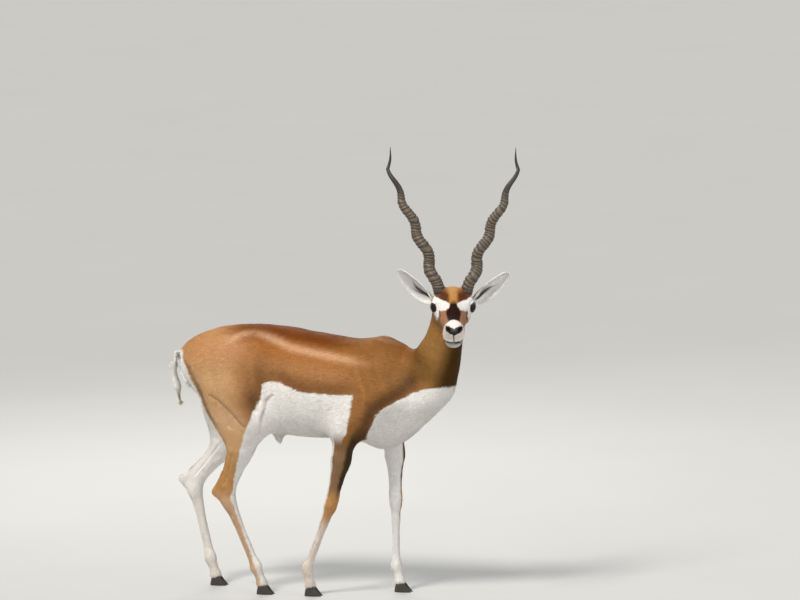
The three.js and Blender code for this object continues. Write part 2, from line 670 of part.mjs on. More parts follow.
function neckSolid() {
  const body = skin(bodyMass, [330, -110, 560], [590, 90, 1010], [14, 14, 16]);
  return largest(body
    .intersect(beyond(NECK_CUT.point, NECK_CUT.normal, GAP))
    .subtract(beyond(HEAD_CUT.point, HEAD_CUT.normal, -GAP))
    .subtract(earSolid(-1, CUT_GAP * 3))
    .subtract(earSolid(1, CUT_GAP * 3)));
}

const eyeCentre = (side) => headPlace(EYE.f, side * EYE.s, EYE.t);

function eyeSolid(side, grow = 0) {
  const ball = new THREE.SphereGeometry(EYE.radius + grow, 16, 11);
  const centre = eyeCentre(side);
  ball.translate(centre.x, centre.y, centre.z);
  return solidOf(ball);
}

// The opening between the lids: a lens-shaped prism along the eye's own line of sight.
function lidOpening(side) {
  const { half_length: a, half_height: b, tilt } = LID_OPENING;
  const shape = new THREE.Shape();
  const steps = 14;
  for (let i = 0; i <= steps - 1; i++) {
    const t = (i / steps) * Math.PI * 2;
    const x = a * Math.cos(t);
    const y = b * Math.sign(Math.sin(t)) * Math.abs(Math.sin(t)) ** 1.25;
    if (i === 0) shape.moveTo(x, y);
    else shape.lineTo(x, y);
  }
  shape.closePath();
  const prism = new THREE.ExtrudeGeometry(shape, { depth: 40, bevelEnabled: false });
  const look = headDirection(Math.cos(radians(EYE_LOOK)), side * Math.sin(radians(EYE_LOOK)), 0.05);
  const up = headDirection(0, 0, 1);
  const across = new THREE.Vector3().crossVectors(up, look).normalize();
  const frame = new THREE.Matrix4().makeBasis(across, new THREE.Vector3().crossVectors(look, across), look);
  prism.applyMatrix4(new THREE.Matrix4().makeRotationZ(radians(-side * tilt)));
  prism.applyMatrix4(frame.setPosition(eyeCentre(side)));
  return solidOf(prism);
}

// A thin band around the lips, deep enough to read as a mouth line.
function mouthSlit() {
  const reach = 60;
  const front = NOSE_REACH - 8 - MOUTH.depth;
  const half = MUZZLE_HALF_WIDTH - 5 - MOUTH.depth;
  const back = MOUTH.corner;
  const shape = new THREE.Shape();
  shape.moveTo(back, -reach);
  shape.lineTo(front + reach, -reach);
  shape.lineTo(front + reach, reach);
  shape.lineTo(back, reach);
  shape.lineTo(back + 4, half - 1);
  const steps = 10;
  for (let i = 0; i <= steps; i++) {
    const turn = Math.PI / 2 - (i / steps) * Math.PI;
    shape.lineTo(front - 24 + 24 * Math.cos(turn), half * Math.sin(turn));
  }
  shape.lineTo(back + 4, 1 - half);
  shape.closePath();
  const slab = new THREE.ExtrudeGeometry(shape, { depth: MOUTH.height, bevelEnabled: false });
  slab.translate(-back, 0, -MOUTH.height / 2);
  const run = NOSE_REACH - back;
  const slope = Math.atan2(MOUTH.drop_at_corner - MOUTH.drop_at_lips, run);
  slab.applyMatrix4(new THREE.Matrix4().makeRotationY(slope));
  slab.translate(back, 0, MOUTH.drop_at_corner);
  slab.applyMatrix4(headFrame);
  return solidOf(slab);
}

function nostril(side) {
  const ball = new THREE.SphereGeometry(1, 12, 8);
  ball.scale(NOSTRIL.depth, NOSTRIL.length, NOSTRIL.height);
  ball.applyMatrix4(new THREE.Matrix4().makeRotationX(radians(side * 38)));
  ball.translate(NOSTRIL.f, side * NOSTRIL.s, NOSTRIL.t);
  ball.applyMatrix4(headFrame);
  return solidOf(ball);
}

function headSolid() {
  let head = skin(bodyMass, [-140, -110, -120], [175, 110, 95], [6.4, 6.1, 6.2], headFrame);
  head = head.intersect(beyond(HEAD_CUT.point, HEAD_CUT.normal, GAP));
  head = head.subtract(mouthSlit());
  for (const side of [-1, 1]) {
    head = head.subtract(eyeSolid(side, CUT_GAP)).subtract(lidOpening(side));
    head = head.subtract(nostril(side));
    head = head.subtract(hornSolid(side, CUT_GAP)).subtract(earSolid(side, CUT_GAP * 3));
  }
  return largest(head);
}

// Point on the horn's middle line, t from the base to the tip, and the radius there.
function hornPoint(side, t) {
  const out = along(HORN_SPREAD, "t", t, "out");
  const coil = along(HORN_SPIRAL, "t", t, "r");
  const turn = ((t - HORN.first_turn) / HORN.turns_apart) * Math.PI * 2;
  const lean = radians(HORN.lean_back);
  const rise = t * HORN.length - HORN.sink;
  const f = HORN.base_f - rise * Math.sin(lean) + coil * Math.cos(turn) * Math.cos(lean);
  const up = HORN.base_t + rise * Math.cos(lean) + coil * Math.cos(turn) * Math.sin(lean);
  return headPlace(f, side * (out + coil * Math.sin(turn)), up);
}

function hornSolid(side, grow = 0) {
  const stations = [];
  const step = (HORN.ringed_to - HORN.ringed_from) / (HORN.rings * 2);
  stations.push({ t: 0, lift: 0 });
  for (let n = 0; n <= HORN.rings * 2; n++) {
    stations.push({ t: HORN.ringed_from + n * step, lift: n % 2 ? HORN.ring_height : 0 });
  }
  const plain = 13;
  for (let n = 1; n <= plain; n++) stations.push({ t: mix(HORN.ringed_to, 1, n / plain), lift: 0 });
  const rings = stations.map(({ t, lift }) => {
    const centre = hornPoint(side, t);
    const ahead = hornPoint(side, t + 0.01).sub(hornPoint(side, t - 0.01)).normalize();
    const across = new THREE.Vector3().crossVectors(ahead, headDirection(1, 0, 0)).normalize();
    const over = new THREE.Vector3().crossVectors(ahead, across);
    const r = along(HORN_RADIUS, "t", t, "r") + lift * Math.min(1, (1 - t) * 2) + grow;
    return Array.from({ length: HORN.sides }, (_, i) => {
      const turn = (i / HORN.sides) * Math.PI * 2;
      return centre.clone()
        .addScaledVector(across, r * Math.cos(turn))
        .addScaledVector(over, r * Math.sin(turn));
    });
  });
  return loft(rings);
}

// Ear sections from root to tip: half width and how far round the sheet is rolled, in degrees.
const EAR_SECTIONS = [
  { t: 0, half: 11, roll: 150, hollow: 0.1 }, { t: 0.1, half: 12, roll: 146, hollow: 0.2 },
  { t: 0.2, half: 16, roll: 118, hollow: 0.8 }, { t: 0.35, half: 21.5, roll: 92, hollow: 1 },
  { t: 0.5, half: 24, roll: 78, hollow: 1 }, { t: 0.7, half: 21.5, roll: 66, hollow: 1 },
  { t: 0.88, half: 14, roll: 58, hollow: 1 }, { t: 0.96, half: 7, roll: 50, hollow: 1 },
  { t: 1, half: 2, roll: 45, hollow: 1 },
];

function earSolid(side, grow = 0) {
  const place = (v) => headPlace(v.x, side * v.y, v.z);
  const tip = EAR.tip.clone();
  if (side < 0) tip.z += EAR.right_tip_lift;
  const spine = new THREE.QuadraticBezierCurve3(place(EAR.root), place(EAR.bend), place(tip));
  const rings = [];
  for (let row = 0; row <= EAR.rows; row++) {
    const t = row / EAR.rows;
    const half = along(EAR_SECTIONS, "t", t, "half") + grow;
    const curl = radians(along(EAR_SECTIONS, "t", t, "roll"));
    const hollow = grow ? 0 : along(EAR_SECTIONS, "t", t, "hollow");
    const radius = half / Math.sin(Math.min(curl, Math.PI / 2));
    const roll = curl + (3 * grow) / radius;
    const thick = Math.min(EAR.thick + 2 * grow, radius * 0.6);
    const inner = mix(radius * 0.12, radius - thick, hollow);
    const axis = spine.getTangentAt(t);
    const facing = headDirection(1, side * 0.05, -0.1);
    facing.addScaledVector(axis, -facing.dot(axis)).normalize();
    const across = new THREE.Vector3().crossVectors(axis, facing).normalize();
    const bow = Math.sin(t * Math.PI) * 5;
    const middle = spine.getPointAt(t).addScaledVector(axis, row === 0 ? -grow : 0)
      .addScaledVector(facing, radius * 0.55 - bow);
    const at = (r, angle) => middle.clone()
      .addScaledVector(across, r * Math.sin(angle))
      .addScaledVector(facing, -r * Math.cos(angle));
    const ring = [];
    for (let c = 0; c <= EAR.columns; c++) ring.push(at(radius, mix(-roll, roll, c / EAR.columns)));
    for (let c = EAR.columns; c >= 0; c--) ring.push(at(inner, mix(-roll, roll, c / EAR.columns) * 0.97));
    rings.push(ring);
  }
  return loft(rings);
}

// The tail's dock and tuft, and the space that belongs to it.
function tailSpace(offset) {
  const side = (s) => beyond(new THREE.Vector3(0, s * 40, 0), new THREE.Vector3(0, -s, 0), offset);
  const low = beyond(new THREE.Vector3(0, 0, 640), new THREE.Vector3(0, 0, 1), offset);
  const behind = beyond(TAIL_CUT.point, TAIL_CUT.normal, offset);
  return behind.intersect(side(1)).intersect(side(-1)).intersect(low);
}

const tailMass = (p) => together(tailPieces, p);
const tailPieces = [
  { mass: limb(vec(TAIL.root), vec(TAIL.bend), TAIL.root_radius, TAIL.dock_radius, 1.05), soft: 0 },
  { mass: limb(vec(TAIL.bend), vec(TAIL.tip), TAIL.dock_radius, TAIL.tuft_radius, 1.2), soft: 12 },
  { mass: limb(vec(TAIL.tip), vec(TAIL.tuft_end), TAIL.tuft_radius, TAIL.end_radius, 1.1), soft: 12 },
];

function tailSolid() {
  let tail = skin(tailMass, [-470, -45, 540], [-360, 45, 770], [9.5, 10, 15]);
  tail = tail.intersect(beyond(TAIL_CUT.point, TAIL_CUT.normal, GAP));
  return largest(tail.subtract(skin(bodyMass, [-440, -150, 540], [-340, 150, 860], [12, 12, 12])));
}

// One toe: pointed in front, straight on the side of the cleft, flat under the sole.
function toeSolid(leg, coronetX, toeX, axisY, outward) {
  const tall = HOOF.height + HOOF.hidden_top;
  const rows = [0, HOOF.wall_foot, 1];
  const shrink = [1, 1, mix(1, HOOF.top_shrink, tall / HOOF.height)];
  const rings = rows.map((level, r) => {
    const size = shrink[r];
    const back = -HOOF.length * HOOF.heel_share;
    const middleX = mix(toeX, coronetX, level);
    const ring = [];
    for (let i = 0; i <= HOOF.points; i++) {
      const t = i / HOOF.points;
      const x = back + HOOF.length * t * size;
      const heel = Math.sin(Math.PI * Math.min(0.5, t * 2.2 + 0.12));
      const w = HOOF.width * size * heel * (1 - t ** 3) ** 0.8;
      const y = leg.side * axisY + outward * (HOOF.cleft / 2 + w);
      ring.push(new THREE.Vector3(middleX + x, y, level * tall));
    }
    ring.push(new THREE.Vector3(middleX + back, leg.side * axisY + outward * HOOF.cleft / 2, level * tall));
    return outward > 0 ? ring.reverse() : ring;
  });
  return loft(rings);
}

const CORONET = { tilt: 18, height: 30 };

function coronetCut(coronetX, offset) {
  const tilt = radians(CORONET.tilt);
  const down = new THREE.Vector3(Math.sin(tilt), 0, -Math.cos(tilt));
  return beyond(new THREE.Vector3(coronetX, 0, CORONET.height), down, offset);
}

// Joint planes of the legs, square to the bone below them.
function jointCut(leg, upper, lower, share, offset) {
  const a = vec(leg[upper]);
  const b = vec(leg[lower]);
  return beyond(a.clone().lerp(b, share), b.clone().sub(a), offset);
}

function dewclaw(leg, fetlock, side) {
  const claw = new THREE.SphereGeometry(1, 7, 5);
  claw.scale(5, 4, 6.5);
  claw.translate(leg[fetlock][0] - 15, leg.side * leg[fetlock][1] + side * 8, leg[fetlock][2] - 7);
  return solidOf(claw);
}

// A whole leg below its trunk cut, parted at its joints.
function foreleg(leg) {
  const mid = leg.side * leg.knee[1];
  const low = [Math.min(leg.fore_coronet[0], leg.knee[0]) - 60, mid - 62, -10];
  const high = [leg.elbow[0] + 130, mid + 62, 580];
  const upper = skin(bodyMass, low, high, [15, 12.5, 19]).intersect(legSpace(leg, FORE_CUT, GAP));
  const lower = skin(bodyMass, low, [high[0], high[1], leg.knee[2] + 30], [10.6, 9.8, 19]);
  const knee = (offset) => jointCut(leg, "knee", "fore_fetlock", 0.02, offset);
  const foot = lower.intersect(knee(GAP)).subtract(coronetCut(leg.fore_coronet[0], -GAP));
  const claws = dewclaw(leg, "fore_fetlock", -1).add(dewclaw(leg, "fore_fetlock", 1));
  return { forearm: largest(upper.subtract(knee(-GAP))), cannon: largest(foot).add(claws) };
}

function hindleg(leg) {
  const mid = leg.side * leg.hock[1];
  const low = [leg.heel[0] - 75, mid - 62, -10];
  const high = [leg.stifle[0] + 120, mid + 66, 690];
  const upper = skin(bodyMass, low, high, [17, 14, 20]).intersect(legSpace(leg, HIND_CUT, GAP));
  const lower = skin(bodyMass, low, [high[0], high[1], leg.hock[2] + 50], [10.6, 9.8, 19]);
  const stifle = (offset) => jointCut(leg, "stifle", "hock", 0.22, offset);
  const hock = (offset) => jointCut(leg, "hock", "hind_fetlock", 0.03, offset);
  const foot = lower.intersect(hock(GAP)).subtract(coronetCut(leg.hind_coronet[0], -GAP));
  const claws = dewclaw(leg, "hind_fetlock", -1).add(dewclaw(leg, "hind_fetlock", 1));
  return {
    thigh: largest(upper.subtract(stifle(-GAP))),
    shank: largest(upper.intersect(stifle(GAP)).subtract(hock(-GAP))),
    cannon: largest(foot).add(claws),
  };
}

function hoof(leg, end, outward) {
  const coronet = leg[`${end}_coronet`];
  const toe = toeSolid(leg, coronet[0], leg[`${end}_toe`] + HOOF.toe_ahead, coronet[1], outward);
  return largest(toe.intersect(coronetCut(coronet[0], GAP)));
}

// Colours as the living animal shows them.
const paint = (color, roughness) => new THREE.MeshStandardMaterial({ color, roughness, metalness: 0 });
const COAT_BROWN = paint(0x8a5a34, 0.9);
const COAT_TAN = paint(0xb08a5e, 0.9);
const COAT_WHITE = paint(0xe8e2d6, 0.9);
const EAR_GREY = paint(0xb9aa98, 0.9);
const HORN_GREY = paint(0x3b3430, 0.6);
const HOOF_BLACK = paint(0x1d1a18, 0.4);
const EYE_BROWN = paint(0x120c08, 0.1);

const group = new THREE.Group();
const solids = [];
const addNode = (name, body, material, reach = 0) => solids.push({ name, body, material, reach });

// How far apart the corners on flat skin may be, node by node.
const THINNED = { torso: 26, neck: 17, head: 7.5, tail: 10, forearm: 13, cannon: 9, thigh: 16, shank: 14 };

addNode("torso", torsoSolid(), COAT_BROWN, THINNED.torso);
addNode("neck", neckSolid(), COAT_BROWN, THINNED.neck);
addNode("head", headSolid(), COAT_BROWN, THINNED.head);
addNode("tail", tailSolid(), COAT_WHITE, THINNED.tail);
for (const [name, side] of [["right", -1], ["left", 1]]) {
  const leg = LEGS[name];
  addNode(`horn_${name}`, hornSolid(side), HORN_GREY);
  addNode(`ear_${name}`, earSolid(side), EAR_GREY);
  addNode(`eye_${name}`, eyeSolid(side), EYE_BROWN);
  const fore = foreleg(leg);
  addNode(`foreleg_${name}_forearm`, fore.forearm, COAT_TAN, THINNED.forearm);
  addNode(`foreleg_${name}_cannon`, fore.cannon, COAT_TAN, THINNED.cannon);
  const hind = hindleg(leg);
  addNode(`hindleg_${name}_thigh`, hind.thigh, COAT_TAN, THINNED.thigh);
  addNode(`hindleg_${name}_shank`, hind.shank, COAT_TAN, THINNED.shank);
  addNode(`hindleg_${name}_cannon`, hind.cannon, COAT_WHITE, THINNED.cannon);
  for (const end of ["fore", "hind"]) {
    addNode(`hoof_${end}_${name}_outer`, hoof(leg, end, leg.side), HOOF_BLACK);
    addNode(`hoof_${end}_${name}_inner`, hoof(leg, end, -leg.side), HOOF_BLACK);
  }
}

// The origin is on the floor under the middle of the whole figure.
const extent = new THREE.Box3();
const geometries = solids.map(({ body, reach }) => {
  const { corners, indices } = tidied(body, reach);
  const geometry = new THREE.BufferGeometry();
  geometry.setAttribute("position", new THREE.Float32BufferAttribute(corners, 3));
  geometry.setIndex(indices);
  geometry.computeBoundingBox();
  extent.union(geometry.boundingBox);
  return geometry;
});
const middle = extent.getCenter(new THREE.Vector3());
geometries.forEach((geometry, n) => {
  geometry.translate(-middle.x, -middle.y, 0);
  const mesh = new THREE.Mesh(geometry, solids[n].material);
  mesh.name = solids[n].name;
  group.add(mesh);
});

export default group;
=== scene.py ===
"""The looks of the blackbuck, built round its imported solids.

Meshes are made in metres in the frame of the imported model. Places on the animal are named in millimetres,
either in the body's frame (x forward, y to its left, z up from the floor) or in the head's frame
(f towards the nose, s to its left, t towards the crown).
"""
import contextlib
import math

import bmesh
import bpy
import numpy as np
from mathutils import Matrix, Vector
from mathutils.bvhtree import BVHTree


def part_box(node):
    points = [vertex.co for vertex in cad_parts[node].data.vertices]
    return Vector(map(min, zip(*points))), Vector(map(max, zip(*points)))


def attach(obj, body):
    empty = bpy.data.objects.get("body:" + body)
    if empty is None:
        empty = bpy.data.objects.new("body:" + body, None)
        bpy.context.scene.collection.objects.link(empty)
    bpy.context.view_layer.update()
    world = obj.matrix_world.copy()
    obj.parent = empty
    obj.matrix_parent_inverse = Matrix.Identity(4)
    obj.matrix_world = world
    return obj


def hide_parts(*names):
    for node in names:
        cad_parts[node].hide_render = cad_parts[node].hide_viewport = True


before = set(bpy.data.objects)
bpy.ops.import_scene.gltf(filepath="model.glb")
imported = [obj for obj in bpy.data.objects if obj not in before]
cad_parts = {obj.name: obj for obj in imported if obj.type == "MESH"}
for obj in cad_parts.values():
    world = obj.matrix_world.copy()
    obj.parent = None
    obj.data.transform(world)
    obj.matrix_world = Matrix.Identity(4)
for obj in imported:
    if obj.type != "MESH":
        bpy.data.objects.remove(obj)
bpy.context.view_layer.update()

# The head and its parts, in the head's frame
HEAD_ORIGIN = np.array([516.0, -83.0, 902.0])
HEAD_TURN, HEAD_PITCH, HEAD_LEAN = -70, 20, -2
EYE = {"f": 2, "s": 51, "t": 2, "radius": 17.5}
EYE_LOOK = 47
LIDS = {"half_length": 15, "half_height": 12, "tilt": 14, "thickness": 2.6}
MOUTH = {"corner": 80, "lips": 152, "t_corner": -31, "t_lips": -42}
NOSTRIL = {"f": 153, "s": 17, "t": 2, "length": 9, "height": 3.6, "depth": 9}
HORN = {"base_f": -34, "base_t": 42, "lean": 40, "length": 450, "first_turn": 0.099, "turns_apart": 0.223,
        "sink": 12, "rings": 31, "ringed_from": 0.03, "ringed_to": 0.70, "ring_height": 1.9}
HORN_FOOT = {"s": 43, "t": 38, "radius": 17}
HORN_SPREAD = ([0, 0.06, 0.3, 0.6, 0.85, 1], [42, 51, 84, 145, 194, 189])
HORN_RADIUS = ([0, 0.25, 0.5, 0.66, 0.8, 0.92, 1], [17.5, 16, 14.4, 11, 7, 4, 1.2])
HORN_SPIRAL = ([0, 0.1, 0.6, 0.85, 1], [3, 6, 6, 4, 1])
EAR = {"root": (-60, 54, -9), "bend": (-64, 92, 0), "tip": (-56, 167, 87), "thick": 2.6,
       "right_lift": 8, "sag": 2.5, "root_radius": 13}
EAR_AT = [0, 0.1, 0.2, 0.35, 0.5, 0.7, 0.88, 0.96, 1]
EAR_HALF = [11, 12, 16.5, 23, 26, 25, 19, 13, 6]
EAR_ROLL = [150, 146, 118, 92, 78, 66, 58, 50, 45]
EAR_HOLLOW = [0.1, 0.2, 0.8, 1, 1, 1, 1, 1, 1]
EAR_TUFTS = 15000

# Middle line of each leg from the top down: x, distance from the midline, z
LEG_LINES = {
    ("fore", -1): [(300, 74, 622), (160, 82, 512), (104, 68, 290), (17, 61, 84), (24, 60, 34), (20, 60, 0)],
    ("fore", 1): [(322, 74, 628), (252, 82, 508), (262, 67, 288), (260, 62, 82), (271, 62, 34), (267, 62, 0)],
    ("hind", -1): [(-262, 58, 690), (-142, 84, 540), (-236, 68, 300),
                   (-150, 61, 84), (-132, 60, 34), (-136, 60, 0)],
    ("hind", 1): [(-282, 58, 690), (-220, 84, 512), (-396, 68, 312),
                  (-346, 62, 84), (-330, 62, 34), (-334, 62, 0)],
}

# Colours of the coat, and of the shade and highlight painted onto it, as linear red, green and blue
BACK = (0.190, 0.050, 0.005)
BACK_LOW = (0.410, 0.150, 0.034)
FLANK = (0.470, 0.220, 0.084)
STREAK = (0.820, 0.500, 0.290)
CROUP = (0.560, 0.275, 0.110)
LOW_FLANK_SHADE = (0.230, 0.100, 0.038)
SHADE_AND_DARK_BROWN = (0.095, 0.045, 0.020)
SHOULDER = (0.350, 0.155, 0.044)
NECK = (0.380, 0.190, 0.056)
THROAT_SHADE = (0.050, 0.022, 0.003)
THIGH = (0.690, 0.415, 0.205)
THIGH_LOW = (0.820, 0.550, 0.320)
ORANGE = (0.580, 0.300, 0.110)
LEG_DARK = (0.042, 0.026, 0.010)
WHITE = (0.900, 0.870, 0.825)
FACE_WHITE = (0.790, 0.755, 0.720)
SHADE_WHITE = (0.760, 0.670, 0.560)
CROWN = (0.465, 0.225, 0.060)
MAROON = (0.085, 0.020, 0.007)
BLAZE = (0.020, 0.005, 0.003)
CHEEK = (0.360, 0.205, 0.105)
FACE_STRIP = (0.360, 0.180, 0.095)
MUZZLE = (0.830, 0.740, 0.680)
CHIN = (0.560, 0.545, 0.490)
LIP_SHADE = (0.110, 0.095, 0.070)
NOSE = (0.012, 0.011, 0.010)
NOSE_PAD = (0.030, 0.027, 0.025)
PAD_HIGHLIGHT = (0.160, 0.150, 0.145)
EAR_INSIDE = (0.940, 0.905, 0.860)
EAR_BACK = (0.470, 0.320, 0.200)
EAR_DARK = (0.045, 0.034, 0.028)
TAIL_TIP = (0.320, 0.230, 0.100)
NOSTRIL_DARK = (0.003, 0.003, 0.003)
MOUTH_DARK = (0.014, 0.011, 0.010)
HORN_TONES = {0.12: (0.022, 0.016, 0.012), 0.5: (0.066, 0.047, 0.030), 0.95: (0.135, 0.099, 0.064)}
HOOF_TONES = {0: (0.010, 0.009, 0.008), 1: (0.062, 0.050, 0.040)}
EYE_TONES = {0.40: (0.003, 0.003, 0.004), 0.55: (0.028, 0.013, 0.006), 0.92: (0.010, 0.006, 0.004)}
FLOOR_TONES = {0: (0.45, 0.445, 0.43), 1: (0.48, 0.475, 0.46)}

# Marking lines, and the paths of painted shade, as (x, z) on the body
TOP_LINE = ([-369, -318, -231, -106, 19, 143, 267, 330, 379], [777, 808, 822, 823, 810, 792, 790, 782, 757])
FLANK_TOP = ([-104, -93, -74, -37, -10, 25, 112, 202], [630, 656, 664, 664, 652, 637, 630, 629])
FLANK_FRONT = ([440, 494, 512, 542, 578, 625], [140, 163, 174, 183, 192, 198])
THIGH_FRONT = ([499, 541, 571, 607, 654], [-157, -134, -124, -104, -97])
CHEST_TOP = ([202, 212, 231, 253, 271, 296, 334, 369, 410, 460, 504],
             [432, 465, 503, 540, 570, 591, 613, 630, 646, 653, 654])
SHOULDER_SHADE_LINE = [(375, 668), (338, 640), (300, 616), (262, 590), (240, 552), (214, 500), (196, 450)]
STREAK_LINE = ([-210, -178, -141, -85, -11, 76, 150, 250], [783, 799, 808, 791, 764, 748, 734, 722])
RUMP_HALF = ([470, 520, 600, 680, 715, 742], [30, 50, 55, 50, 34, 0])
RUMP_EDGE = ([498, 549, 615, 696, 742], [-251, -284, -316, -348, -380])
RUMP_SIDE = 88
FLANK_FOLD = [(-62, 622), (-84, 604), (-97, 556), (-106, 515)]
THIGH_CREASE = [(-264, 615), (-203, 569), (-155, 523)]
HIND_WHITE = ([0, 96, 178, 249, 308, 367, 427, 463, 499, 541, 571, 600],
              [2, 3, 7, 12, 16, 9, 5, 3, 2, 8, 43, 84])

# Marking lines of the face: rise of the brow at s, half widths at depths below the brow, f of the muzzle at s
BROW_TOP = ([8, 13, 26, 40, 50, 62, 72], [9, 11, 17, 21, 30, 39, 40])
BROW_LOW = ([9, 13, 20, 32, 42], [7, -1, -9, -13, -14])
BLAZE_HALF = ([-22, -9, 1, 15, 28, 42, 50], [5, 8, 12, 22, 21, 16, 14])
STRIP_HALF = ([-8, 14, 30, 46, 54], [12, 10, 8, 3, 0])
MUZZLE_START = ([0, 10, 20, 30, 38], [113, 116, 122, 130, 128])

# The skin's cells in metres, how much each node is smoothed, and the sizes of hair in millimetres
SKIN_CELL = 0.004
SMOOTHING = {"torso": 1.0, "neck": 0.8, "head": 0.18, "tail": 0.3, "upper": 0.35, "lower": 0.12}
BODY_DEPTH = 2.2
FACE_DEPTH = 1.2
TAIL_DEPTH = 6
CORONET_HAIR = 7

FLESH = ["torso", "neck", "head", "tail"]
FLESH += [f"foreleg_{side}_{part}" for side in ("right", "left") for part in ("forearm", "cannon")]
FLESH += [f"hindleg_{side}_{part}" for side in ("right", "left") for part in ("thigh", "shank", "cannon")]


def turn(degrees, axis):
    return np.array(Matrix.Rotation(math.radians(degrees), 3, axis))


HEAD_AXES = turn(HEAD_TURN, "Z") @ turn(HEAD_PITCH, "Y") @ turn(HEAD_LEAN, "X")


def box_middle(node):
    low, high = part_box(node)
    return (np.array(low) + np.array(high)) / 2


# The eyes are where the solids have them, and everything else is placed from there
eyes_middle = (box_middle("eye_right") + box_middle("eye_left")) / 2
EYES_IN_BODY = HEAD_ORIGIN + HEAD_AXES @ np.array([EYE["f"], 0, EYE["t"]])
ORIGIN = eyes_middle - EYES_IN_BODY / 1000


def to_body(points):
    return (np.asarray(points) - ORIGIN) * 1000


def from_body(points):
    return np.asarray(points) / 1000 + ORIGIN


def to_head(body_points):
    return (body_points - HEAD_ORIGIN) @ HEAD_AXES


def from_head(head_points):
    return from_body(np.asarray(head_points) @ HEAD_AXES.T + HEAD_ORIGIN)


def unit(vectors):
    return vectors / np.maximum(np.linalg.norm(vectors, axis=-1, keepdims=True), 1e-12)


def ease(value, low, high):
    """0 below low, 1 above high, and smooth between."""
    share = np.clip((value - low) / (high - low), 0, 1)
    return share * share * (3 - 2 * share)


def blob(*squares):
    """A soft bump: 1 where all the scaled distances are 0."""
    return np.exp(-sum(np.square(s) for s in squares))


def line(value, table):
    return np.interp(value, table[0], table[1])


def waver(points, size, seed=0):
    """Smooth noise from -1 to 1, with waves about size long."""
    total = np.zeros(len(points))
    draw = np.random.default_rng(seed)
    for _ in range(6):
        direction = draw.normal(size=3)
        direction *= draw.uniform(0.7, 1.5) * 2 * math.pi / (size * np.linalg.norm(direction))
        total += np.sin(points @ direction + draw.uniform(0, 6.3))
    return total / 3.2


def layer(colour, weight, over):
    """over, painted with colour where weight is 1: one colour, or one for each point."""
    weight = np.clip(weight, 0, 1)[:, None]
    return over * (1 - weight) + np.asarray(colour) * weight


def plain(colour, points):
    """The same colour for each of the points."""
    return np.tile(np.array(colour), (len(points), 1))


# Meshes

def new_object(name, mesh):
    piece = bpy.data.objects.new(name, mesh)
    bpy.context.scene.collection.objects.link(piece)
    return piece


def mesh_from(name, points, faces, smooth=True):
    mesh = bpy.data.meshes.new(name)
    mesh.from_pydata([tuple(p) for p in points], [], [tuple(f) for f in faces])
    mesh.update()
    if smooth:
        mesh.polygons.foreach_set("use_smooth", np.ones(len(mesh.polygons), bool))
    return mesh


@contextlib.contextmanager
def edited(mesh):
    """The mesh as a bmesh, which is written back at the end of the block."""
    group = bmesh.new()
    group.from_mesh(mesh)
    group.verts.ensure_lookup_table()
    yield group
    group.to_mesh(mesh)
    group.free()


def read_points(mesh):
    values = np.empty(len(mesh.vertices) * 3)
    mesh.vertices.foreach_get("co", values)
    return values.reshape(-1, 3)


def write_points(mesh, points):
    mesh.vertices.foreach_set("co", np.asarray(points, np.float32).ravel())
    mesh.update()


def read_edges(mesh):
    values = np.empty(len(mesh.edges) * 2, np.int32)
    mesh.edges.foreach_get("vertices", values)
    return values.reshape(-1, 2)


def read_triangles(mesh):
    mesh.calc_loop_triangles()
    values = np.empty(len(mesh.loop_triangles) * 3, np.int32)
    mesh.loop_triangles.foreach_get("vertices", values)
    return values.reshape(-1, 3)


def point_normals(points, triangles):
    a, b, c = (points[triangles[:, k]] for k in range(3))
    face = np.cross(b - a, c - a)
    normals = np.zeros_like(points)
    for corner in range(3):
        for axis in range(3):
            normals[:, axis] += np.bincount(triangles[:, corner], face[:, axis], len(points))
    return unit(normals)


def spread(values, edges, times, share=0.5):
    """values, averaged with their neighbours along the mesh."""
    ends = np.concatenate([edges[:, 0], edges[:, 1]])
    others = np.concatenate([edges[:, 1], edges[:, 0]])
    count = np.maximum(np.bincount(ends, minlength=len(values)), 1)
    flat = values.ndim == 1
    values = values[:, None] if flat else values.copy()
    share = np.broadcast_to(np.asarray(share, float), len(values))[:, None]
    for _ in range(times):
        mean = np.stack([np.bincount(ends, values[others, k], len(values)) / count
                         for k in range(values.shape[1])], axis=1)
        values = values + share * (mean - values)
    return values[:, 0] if flat else values


def set_colour(mesh, colours, name="coat"):
    rgba = np.ones((len(colours), 4), np.float32)
    rgba[:, :3] = colours
    mesh.color_attributes.new(name, "FLOAT_COLOR", "POINT").data.foreach_set("color", rgba.ravel())


def set_value(mesh, values, name):
    flat = np.asarray(values, np.float32).ravel()
    mesh.attributes.new(name, "FLOAT", "POINT").data.foreach_set("value", flat)


def set_vectors(mesh, vectors, name):
    flat = vectors.astype(np.float32).ravel()
    mesh.attributes.new(name, "FLOAT_VECTOR", "POINT").data.foreach_set("vector", flat)


def shell(name, points, rows, columns, material, values=None, pointed=False):
    """A closed piece from rows + 1 rings of points. Its ends are flat, or points where it is pointed."""
    first = np.arange(rows)[:, None] * columns
    column = np.arange(columns)[None, :]
    following = (column + 1) % columns
    near = [first + column, first + following]
    faces = np.stack(near + [place + columns for place in near[::-1]], axis=2).reshape(-1, 4).tolist()
    if not pointed:
        faces += [list(range(columns)), list(range(rows * columns, (rows + 1) * columns))]
    mesh = mesh_from(name, points, faces)
    for key, numbers in (values or {}).items():
        set_value(mesh, numbers, key)
    with edited(mesh) as group:
        if pointed:
            bmesh.ops.remove_doubles(group, verts=group.verts, dist=1e-6)
        bmesh.ops.recalc_face_normals(group, faces=group.faces)
    mesh.materials.append(material)
    return new_object(name, mesh)


# Materials

def new_material(name):
    material = bpy.data.materials.new(name)
    material.use_nodes = True
    nodes = material.node_tree.nodes
    return material, nodes, nodes["Principled BSDF"]


